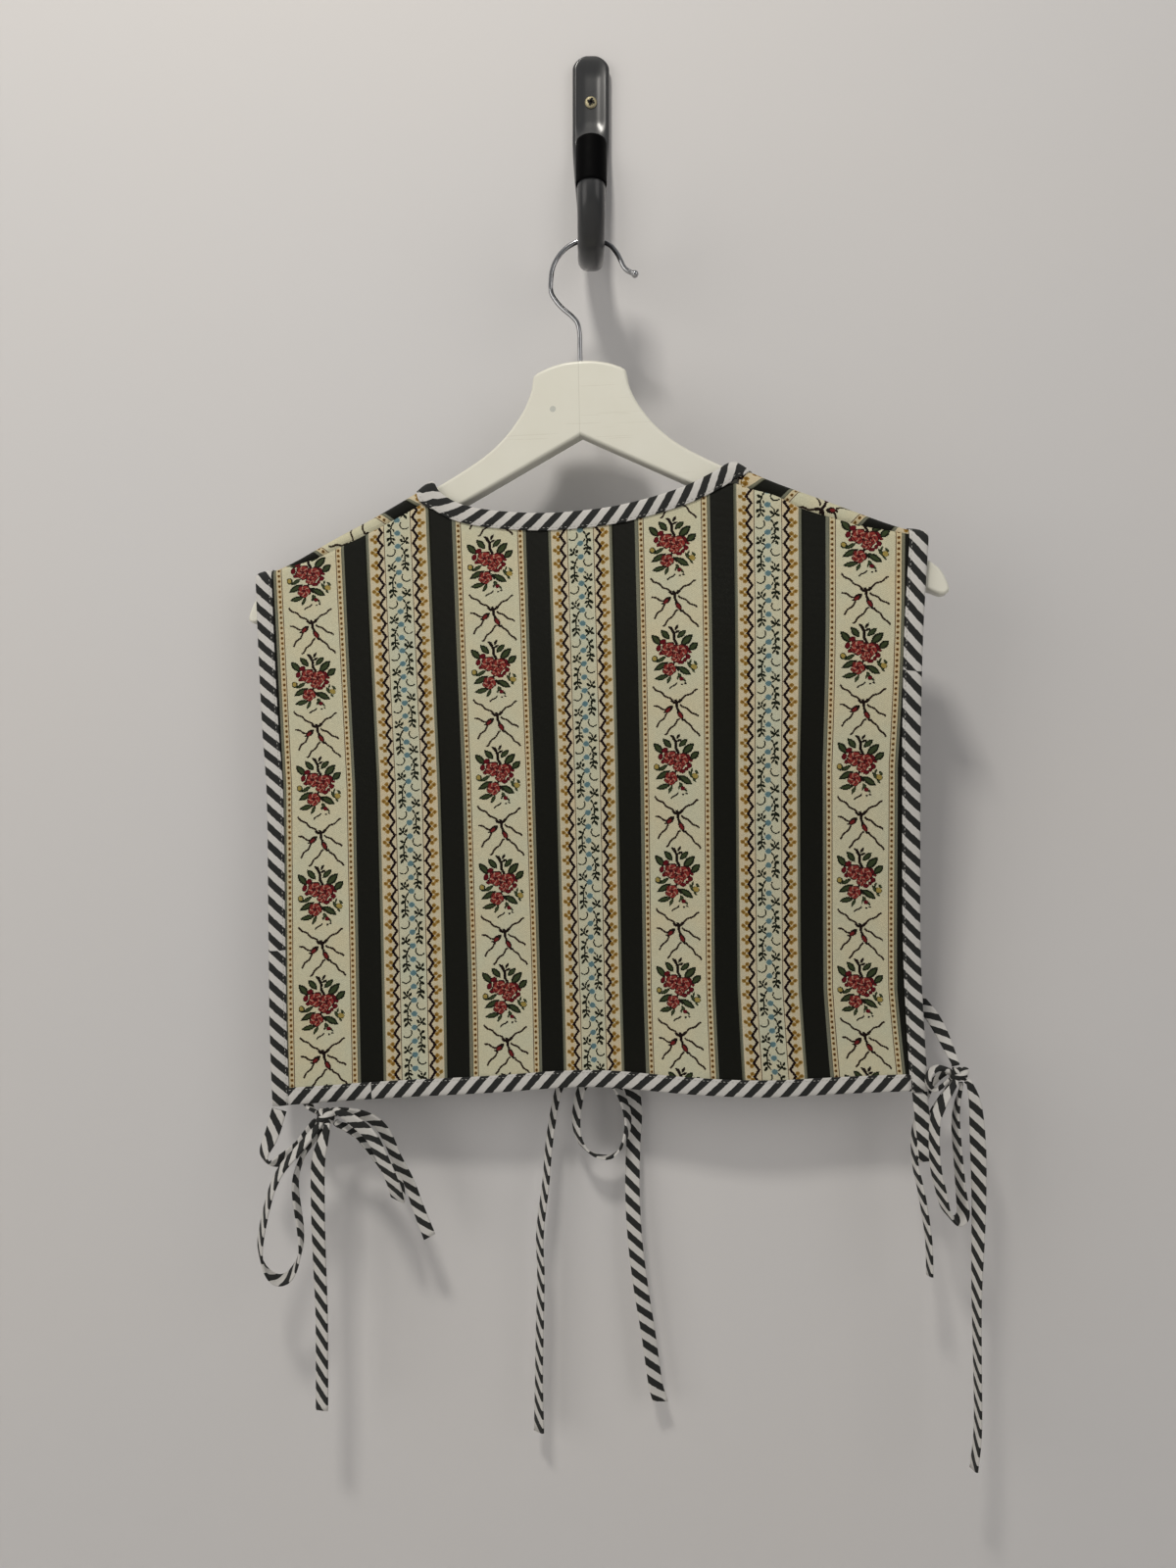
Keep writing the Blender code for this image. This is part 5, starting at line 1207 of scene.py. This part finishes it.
def add_bindings(mat):
    """Every binding, gathered by the panel that it is sewn to."""
    up, down = (0, 0, 1), (0, 0, -1)
    tapes = {"back": [add_binding("back_neck_binding", back_neck_path(), down, -1.0, mat),
                      add_binding("back_hem_binding", hem_path(1.0), up, 1.0, mat, HEM_JOIN)]}
    for side, word in SIDES:
        inside, outside = (-side, 0, 0), (side, 0, 0)
        tapes["back"].append(add_binding(f"back_side_binding_{word}", side_path(side, 1.0), inside,
                                         -side, mat, SIDE_JOINS[side]))
        tapes[word] = [add_binding(f"front_{edge}_binding_{word}", path, towards, slant, mat)
                       for edge, path, towards, slant in (
                           ("side", side_path(side, -1.0), inside, -side),
                           ("hem", hem_path(-1.0, side), up, 1.0),
                           ("neck", front_neck_path(side), outside, 1.0),
                           ("edge", front_edge_path(side), outside, 1.0))]
    return tapes


def add_stitches(mat):
    """Every topstitch as a small bead of thread sunk in the tape, joined in small batches."""
    whole = bmesh.new()
    for first in range(0, len(stitch_spots), STITCH_BATCH):
        bm = bmesh.new()
        for point, along, normal in stitch_spots[first:first + STITCH_BATCH]:
            across = along.cross(normal).normalized()
            turn = Matrix((along, across, normal)).transposed().to_4x4()
            shape = Matrix.Translation(point) @ turn @ Matrix.Diagonal((*STITCH_SIZE, 1.0))
            bmesh.ops.create_icosphere(bm, subdivisions=1, radius=1.0, matrix=shape)
        mesh = bpy.data.meshes.new("stitches")
        bm.to_mesh(mesh)
        bm.free()
        whole.from_mesh(mesh)
        bpy.data.meshes.remove(mesh)
    return add_piece("topstitching", whole, [mat])


# Ties

def seat_on_knot(end):
    """Two rows that bring a tie straight in to its knot, in place of the route's last row."""
    place = Vector(end[:3])
    _, centre, size = min(KNOTS, key=lambda knot: (Vector(knot[1]) - place).length)
    out = place - Vector(centre)
    if out.length > KNOT_REACH:
        return [end]
    seat = out / math.sqrt(sum((o / r) ** 2 for o, r in zip(out, size)))
    normal = Vector([s / r**2 for s, r in zip(seat, size)]).normalized()
    seat += Vector(centre)
    return [(*(seat + normal * gap), *end[3:]) for gap in (KNOT_APPROACH, KNOT_GAP)]


TIE_STEPS = 7
TIE_ROUND = 14
TIE_HALF_WIDTH = 0.00475
BLUNT = 0.45
GATHER = 0.10
CUT_STEPS = 3
CUT_SLANT = 1.5
CENTRE_TAIL_SLANT = -4.0


def add_tie(name, rows, mat, bias=0.0):
    """A strip of folded tape along a route; bias is how far its free end is cut on the slant."""
    rows = seat_on_knot(rows[0])[::-1] + rows[1:-1] + seat_on_knot(rows[-1])
    stations = curve_through(rows, TIE_STEPS)
    points = [Vector(s[:3]) * MM for s in stations]
    last = len(points) - 1
    facing = Vector((0, -1, 0))
    frames, run = [], [0.0]
    for i, point in enumerate(points):
        reach = TIE_STEPS if i in (0, last) else 2
        along = (points[min(i + reach, last)] - points[max(i - reach, 0)]).normalized()
        facing = (facing - along * facing.dot(along)).normalized()
        across = along.cross(facing)
        across.rotate(Matrix.Rotation(math.radians(stations[i][3]), 3, along))
        frames.append((along, across, across.cross(along)))
        if i:
            run.append(run[-1] + (point - points[i - 1]).length / MM)

    def place(around, down):
        i = round(down * last)
        angle = 2 * math.pi * around
        along, across, out = frames[i]
        half = stations[i][4] * MM / 2
        thick = TAPE_THICKNESS / 2 + GATHER * (TIE_HALF_WIDTH - half)
        c, s = math.cos(angle), math.sin(angle)
        side = half * math.copysign(abs(c) ** BLUNT, c)
        lift = thick * math.copysign(abs(s) ** BLUNT, s)
        point = points[i] + across * side + out * lift
        if i > last - CUT_STEPS:
            point += along * bias * side / half * MM / 2 * (i - last + CUT_STEPS) / CUT_STEPS
        back = 0.0 if s >= 0 else 2 * half / MM
        girth = (half - side) / MM if s >= 0 else back + (half + side) / MM
        return point, (run[i], -girth), out

    bm = woven_grid(TIE_ROUND, last, place, closed=True)
    tie = add_piece(name.replace("tie", "ribbon"), bm, [mat], [name])
    return tie, points, run[-1] * MM


# Where the tape's stripes fall on a knot's core and on the turns round it
CORE_STRIPE = 2.2
CORE_SPREAD = 1.5
TURN_STRIPE = 3.0
TURN_SPREAD = 5
TURN_WIDTH = 9.5


def add_knot(name, centre, size, mat):
    """A knot: the crushed tape inside, with two turns of tape drawn tight round it."""
    middle = Vector(centre) * MM
    size = Vector(size) * MM
    bm = bmesh.new()
    bmesh.ops.create_uvsphere(bm, u_segments=28, v_segments=16, radius=1.0)
    uv = bm.loops.layers.uv.new("cloth")
    for face in bm.faces:
        for loop in face.loops:
            spot = loop.vert.co
            loop[uv].uv = (CORE_STRIPE + spot.x * CORE_SPREAD, 0.0)
    for v in bm.verts:
        pucker = 0.80 + 0.04 * math.sin(9 * math.atan2(v.co.z, v.co.x) + 4 * v.co.y)
        v.co = Vector(v.co[i] * size[i] * pucker for i in range(3)) + middle
    core = add_piece(name.replace("tie", "ribbon"), bm, [mat], [name])

    def wrap(lean, wide, out):
        turn = Matrix.Rotation(math.radians(lean), 3, "Y")

        def place(around, down):
            angle = 2 * math.pi * around
            offset = (down - 0.5) * wide
            crown = out * (1 - 0.35 * (2 * down - 1) ** 2)
            flat = math.sqrt(max(0.0, 1 - (0.5 * offset) ** 2))
            way = turn @ Vector((0.55 * offset, math.cos(angle) * flat, math.sin(angle) * flat))
            point = middle + Vector(way[i] * size[i] * crown for i in range(3))
            return point, (angle * TURN_SPREAD + TURN_STRIPE, down * TURN_WIDTH), way

        return place

    pieces = [core]
    for i, (lean, wide, out) in enumerate(KNOT_TURNS):
        bm = woven_grid(36, 8, wrap(lean, wide, out))
        bmesh.ops.remove_doubles(bm, verts=bm.verts, dist=0.00001)
        band = add_piece(name.replace("tie", "ribbon") + f"_turn_{i + 1}", bm, [mat])
        thicken(band, TAPE_WALL)
        pieces.append(band)
    return pieces


SHORT_TIES = ("tie_left_strap_front", "tie_centre_strap_left", "tie_centre_strap_right",
              "tie_right_strap_front", "tie_right_loop_small")


def add_ties(mat):
    """The three bows: each tie as a strip of tape, and each knot with its turns."""
    made = {}
    for name, rows in TIES.items():
        bias = CUT_SLANT if "tail" in name else 0.0
        if name == "tie_centre_tail_right":
            bias = CENTRE_TAIL_SLANT
        made[name] = add_tie(name, rows, mat, bias)
    for name, centre, size in KNOTS:
        bow = name.replace("_knot", "_")
        extra = add_knot(name, centre, size, mat)
        extra += [made[n][0] for n in SHORT_TIES if n.startswith(bow)]
        for tie_name, (tie, points, length) in made.items():
            if not tie_name.startswith(bow) or tie_name in SHORT_TIES:
                continue
            extra = []


# Hanger

def hanger_matrix():
    turn = Matrix.Rotation(-HANGER_TURN, 4, "Z") @ Matrix.Rotation(-HANGER_TIP, 4, "Y")
    return Matrix.Translation(HANGER_HEAD) @ turn


def add_hanger_body(mat):
    """Two mirrored halves of flat wood, their edges well rounded, glued at a fine joint."""
    bm = bmesh.new()
    right = curve_through(HANGER_UPPER[:4], 3)[:-1] + curve_through(HANGER_UPPER[3:11], 4)[:-1]
    right += curve_through(HANGER_UPPER[11:], 4)
    outline = [Vector(p) for p in right] + [Vector(HANGER_APEX)]
    outline += [Vector((-p[0], p[1])) for p in right[::-1]]
    verts = [bm.verts.new((p[0] * MM, -HANGER_THICKNESS / 2, p[1] * MM)) for p in outline]
    face = bm.faces.new(verts)
    deep = bmesh.ops.extrude_face_region(bm, geom=[face])
    moved = [g for g in deep["geom"] if isinstance(g, bmesh.types.BMVert)]
    bmesh.ops.translate(bm, verts=moved, vec=(0, HANGER_THICKNESS, 0))
    bmesh.ops.recalc_face_normals(bm, faces=bm.faces)
    rims = [e for e in bm.edges if abs(e.verts[0].co.y - e.verts[1].co.y) < 0.0001]
    bmesh.ops.bevel(bm, geom=rims, offset=0.0022, segments=4, profile=0.5, affect="EDGES",
                    material=-1)
    bmesh.ops.transform(bm, matrix=hanger_matrix(), verts=bm.verts)
    body = add_piece("hanger_wood", bm, [mat], ["hanger_body"])
    weigh = body.modifiers.new("even shading", "WEIGHTED_NORMAL")
    weigh.keep_sharp = True
    return body


def swept(route, radii, steps_round):
    """A round bar along a route in the hanger's own plane."""
    last = len(route) - 1

    def place(around, down):
        i = round(down * last)
        along = (route[min(i + 1, last)] - route[max(i - 1, 0)]).normalized()
        across = Vector((0, 1, 0)).cross(along).normalized()
        angle = 2 * math.pi * around
        out = across * math.cos(angle) + Vector((0, 1, 0)) * math.sin(angle)
        return route[i] + out * radii(i / last), (around * 9, down * 200), out

    return woven_grid(steps_round, last, place, closed=True)


def add_hanger_hook(mat):
    """Chromed wire bent to a hook, drawn out into a round bead at its tip."""
    centre_x, centre_z = HOOK_CENTRE
    knots = [(x * MM, 0, z * MM) for x, z in WIRE_FOOT]
    for i in range(HOOK_STEPS):
        angle = math.radians(HOOK_START - i * HOOK_STEP)
        knots.append((centre_x + HOOK_RADIUS * math.cos(angle), 0,
                      centre_z + HOOK_RADIUS * math.sin(angle)))
    knots += [(x * MM, 0, z * MM) for x, z in WIRE_END]
    bm = swept(curve_through(knots, 5), lambda share: WIRE_RADIUS, 20)
    bmesh.ops.transform(bm, matrix=hanger_matrix(), verts=bm.verts)
    add_piece("hook_wire", bm, [mat], ["hanger_hook"])

    tip, end = (Vector((x, 0, z)) * MM for x, z in (WIRE_END[-1], BALL_CENTRE))
    way = (end - tip).normalized()
    start = (end - tip).length
    steps = 24
    route = [tip + way * ((start + BALL_RADIUS) * n / steps) for n in range(steps + 1)]

    def radius(share):
        off = share * (start + BALL_RADIUS) - start
        ball = math.sqrt(max(0.0, BALL_RADIUS**2 - off**2))
        return max(ball, WIRE_RADIUS * 1.02 if off < 0 else 0.00005)

    bm = swept(route, radius, 24)
    bmesh.ops.transform(bm, matrix=hanger_matrix(), verts=bm.verts)
    add_piece("hook_bead", bm, [mat], ["hanger_hook_ball"])


# Wall hook

def round_box(half_x, half_y, corner):
    """Outline of a box with round corners, from its back right corner, anticlockwise from above."""
    points, corner_steps, face_steps = [], 7, 12
    for sx, sy, start in ((1, 1, 0), (-1, 1, 90), (-1, -1, 180), (1, -1, 270)):
        for i in range(corner_steps + 1):
            angle = math.radians(start + 90 * i / corner_steps)
            points.append((sx * (half_x - corner) + corner * math.cos(angle),
                           sy * (half_y - corner) + corner * math.sin(angle)))
        if sx < 0 and sy < 0:
            reach = half_x - corner
            points += [(-reach + 2 * reach * i / face_steps, -half_y) for i in range(1, face_steps)]
    return points


def hook_stations():
    """Sections down the hook: centre y, z, the way it runs, half width, half depth, corner."""
    stations = []
    steps = 14
    for n in range(steps + 1):
        share = (n / steps) ** 2
        drop = PLATE_CROWN * share
        width = PLATE_HALF_WIDTH * math.sqrt(max(0.01, 1 - (1 - share) ** 2))
        depth = PLATE_HALF_DEPTH * math.sqrt(max(0.15, 1 - (1 - min(1.0, drop / TOP_EDGE)) ** 2))
        stations.append((-PLATE_HALF_DEPTH, PLATE_TOP - drop, -90.0, width, depth,
                         min(PLATE_CORNER, depth * 0.9, width * 0.9)))
    steps = 32
    start = PLATE_TOP - PLATE_CROWN
    for n in range(1, steps + 1):
        z = start + (PLATE_LEVEL_END - start) * n / steps
        stations.append((-PLATE_HALF_DEPTH, z, -90.0, PLATE_HALF_WIDTH, PLATE_HALF_DEPTH,
                         PLATE_CORNER))
    bend_y, bend_z = BEND_CENTRE
    leg_y = bend_y + BEND_REACH
    steps = 28
    for i in range(1, steps):
        share = smooth_step(i / steps)
        z = PLATE_LEVEL_END + (bend_z - PLATE_LEVEL_END) * i / steps
        fuller = smooth_step(2.0 * i / steps)
        depth = PLATE_HALF_DEPTH + (BEND_HALF_DEPTH - PLATE_HALF_DEPTH) * fuller
        width = PLATE_HALF_WIDTH + (TUBE_RADIUS - PLATE_HALF_WIDTH) * share
        lean = -90.0 - LEG_LEAN * math.sin(math.pi * i / steps)
        stations.append((-depth + (leg_y + depth) * share, z, lean, width, depth,
                         min(depth, width) * 0.96))
    steps = 44
    for i in range(steps + 1):
        angle = math.pi * i / steps
        way = math.degrees(math.atan2(-BEND_DROP * math.cos(angle), -BEND_REACH * math.sin(angle)))
        fuller = smooth_step((12 * i / steps - 8) / 4)
        depth = BEND_HALF_DEPTH + (TUBE_RADIUS - BEND_HALF_DEPTH) * fuller
        stations.append((bend_y + BEND_REACH * math.cos(angle),
                         bend_z - BEND_DROP * math.sin(angle), way, TUBE_RADIUS, depth,
                         depth * 0.98))
    stations.append((bend_y - BEND_REACH, ARM_TOP, 90.0, TUBE_RADIUS, TUBE_RADIUS,
                     TUBE_RADIUS * 0.98))
    return stations


def dish(x, z):
    """How far the plate is pressed in round the screw."""
    across = min(1.0, abs(x) / (PLATE_HALF_WIDTH - DISH_RIM))
    along = (z - DISH_CENTRE) / DISH_HALF_LENGTH
    return DISH_DEPTH * smooth_step(1.6 * (1 - across)) * smooth_step(2.2 * (1 - abs(along)))


def add_wall_hook(mat):
    """Tube pressed flat and dished at its top, then bent out and up into a J."""
    stations = hook_stations()
    last = len(stations) - 1
    count = len(round_box(0.01, 0.01, 0.001))

    def place(around, down):
        y, z, way, half_x, half_y, corner = stations[round(down * last)]
        run = Vector((0, math.cos(math.radians(way)), math.sin(math.radians(way))))
        back = Vector((0, -run.z, run.y))
        section = round_box(half_x, half_y, min(corner, half_x * 0.99))
        px, py = section[round(around * count) % count]
        if py < -0.9 * half_y and z > PLATE_LEVEL_END:
            py += dish(px, z)
        return Vector((px, y, z)) + back * py, (0.0, 0.0), back

    bm = woven_grid(count, last, place, closed=True)
    return add_piece("hook_tube", bm, [mat], ["wall_hook"])


def add_tip_cap(mat):
    """Rubber cap turned from its section, with a soft top edge and a bead round its mouth."""
    r, height = CAP_RADIUS / MM, (CAP_TOP - CAP_BOTTOM) / MM
    bore, roof = TUBE_RADIUS / MM + 0.2, (ARM_TOP - CAP_BOTTOM) / MM + 0.3
    knots = [(0.01, height), (r - 3.0, height - 0.05), (r - 1.4, height - 0.45),
             (r - 0.45, height - 1.3), (r - 0.1, height - 2.8), (r - 0.12, 2.6), (r - 0.02, 1.9),
             (r - 0.02, 0.5), (r - 0.3, 0.05), (bore, 0.1), (bore, roof), (0.01, roof)]
    bm = bmesh.new()
    verts = [bm.verts.new((out * MM, 0, up * MM)) for out, up in knots]
    edges = [bm.edges.new(pair) for pair in zip(verts, verts[1:])]
    bmesh.ops.spin(bm, geom=verts + edges, cent=(0, 0, 0), axis=(0, 0, 1), angle=2 * math.pi,
                   steps=48, use_merge=True)
    bmesh.ops.remove_doubles(bm, verts=bm.verts, dist=0.00003)
    bmesh.ops.recalc_face_normals(bm, faces=bm.faces)
    bmesh.ops.translate(bm, verts=bm.verts, vec=(0, BEND_CENTRE[0] - BEND_REACH, CAP_BOTTOM))
    cap = add_piece("hook_cap", bm, [mat], ["hook_tip_cap"])
    cap.data.set_sharp_from_angle(angle=math.radians(50))
    return cap


# Painted shadow in the screw's cross: the turns of its arms, their size, and how far below the
# plate's face they sit
CROSS_TURNS = (20, 110)
CROSS_ARM = (0.0050, 0.0003, 0.0013)
CROSS_LIFT = 0.00132


def add_screw_cross_shadow(mat):
    """The cross in the screw's head, filled with painted shadow."""
    bm = bmesh.new()
    face = -2 * PLATE_HALF_DEPTH + DISH_DEPTH
    # Each arm is a thin dark box set in a slot of the cross, as painted shadow
    for turn in CROSS_TURNS:
        made = bmesh.ops.create_cube(bm, size=1.0)["verts"]
        bmesh.ops.scale(bm, verts=made, vec=CROSS_ARM)
        bmesh.ops.rotate(bm, verts=made, matrix=Matrix.Rotation(math.radians(turn), 3, "Y"))
        bmesh.ops.translate(bm, verts=made, vec=(0, face - CROSS_LIFT, SCREW_HEIGHT))
    return add_piece("screw_cross_shadow", bm, [mat], smooth=False)


# Stage

def add_stage():
    """A pale floor, and a pale board behind that only shows from the front."""
    board, tree, shader = mottled("painted board", {"Roughness": 0.9}, 3.0, 2.0,
                                  ("#d3d0cd", "#cfcfd0"))
    out = tree.nodes["Material Output"]
    behind = add_node(tree, "NewGeometry", output="Backfacing")
    clear = add_node(tree, "BsdfTransparent")
    seen = add_node(tree, "MixShader", [behind, shader.outputs[0], clear])
    tree.links.new(seen, out.inputs[0])
    floor_mat = mottled("pale floor", {"Roughness": 0.8}, 2.0, 2.0, ("#dcdad7", "#d5d4d2"))[0]
    for name, size, move, turn, mat in (
            ("backdrop", (1.3, 1.35), (0.0, 0.0012, -0.43), math.pi / 2, board),
            ("floor", (8.0, 8.0), (0.0, 0.0, -1.12), 0.0, floor_mat)):
        bm = bmesh.new()
        bmesh.ops.create_grid(bm, x_segments=1, y_segments=1, size=0.5)
        bmesh.ops.scale(bm, verts=bm.verts, vec=(*size, 1))
        bmesh.ops.rotate(bm, verts=bm.verts, matrix=Matrix.Rotation(turn, 3, "X"))
        bmesh.ops.translate(bm, verts=bm.verts, vec=move)
        mesh = bpy.data.meshes.new(name)
        bm.to_mesh(mesh)
        bm.free()
        mesh.materials.append(mat)
        ground = bpy.data.objects.new(name, mesh)
        bpy.context.scene.collection.objects.link(ground)


def add_light(name, place, aim, size, watts, colour):
    lamp = bpy.data.lights.new(name, "AREA")
    lamp.shape = "RECTANGLE"
    lamp.size, lamp.size_y = size
    lamp.energy = watts
    lamp.color = linear(colour)[:3]
    obj = bpy.data.objects.new(name, lamp)
    obj.location = place
    obj.rotation_euler = (Vector(aim) - Vector(place)).to_track_quat("-Z", "Y").to_euler()
    bpy.context.scene.collection.objects.link(obj)


def add_lights():
    aim = (0.0, 0.0, -0.4)
    add_light("ceiling light", (-0.35, -1.0, 0.95), aim, (0.26, 0.18), 13.0, "#fffaf2")
    add_light("window", (1.6, -1.6, 0.3), aim, (1.2, 1.6), 7.5, "#fdf8f4")
    add_light("room", (-1.8, -1.4, -0.1), aim, (1.4, 1.6), 12.0, "#fffaf4")
    add_light("behind", (0.6, 1.6, 0.8), aim, (1.4, 1.4), 10.0, "#ffffff")
    world = bpy.data.worlds.new("room")
    bpy.context.scene.world = world
    world.use_nodes = True
    back = world.node_tree.nodes["Background"]
    back.inputs["Color"].default_value = linear("#e8e8ea")
    back.inputs["Strength"].default_value = 0.30


tape_mat = bias_tape()
add_ties(tape_mat)
back, fronts = add_panels(jacquard(), jacquard_wrong_side())
tapes = add_bindings(tape_mat)
stitches = add_stitches(sewing_thread())
wood = lacquered_wood()
chrome = plated_metal("chromed wire", ("#b9babb", "#9d9ea0"), 600.0, 0.06)
add_hanger_body(wood)
add_hanger_hook(chrome)
add_wall_hook(coated_steel())
add_tip_cap(moulded_rubber())
# The screw's cross gets painted shadow
add_screw_cross_shadow(shadowed_recess())
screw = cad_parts["wall_screw"]
for slot in screw.material_slots:
    slot.material = plated_metal("zinc plated screw", ("#b0a88c", "#8f886f"), 900.0, 0.48)
for front, word in zip(fronts, ("left", "right")):
    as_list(tapes[word])
add_stage()
add_lights()

bpy.context.scene.view_settings.view_transform = "Standard"
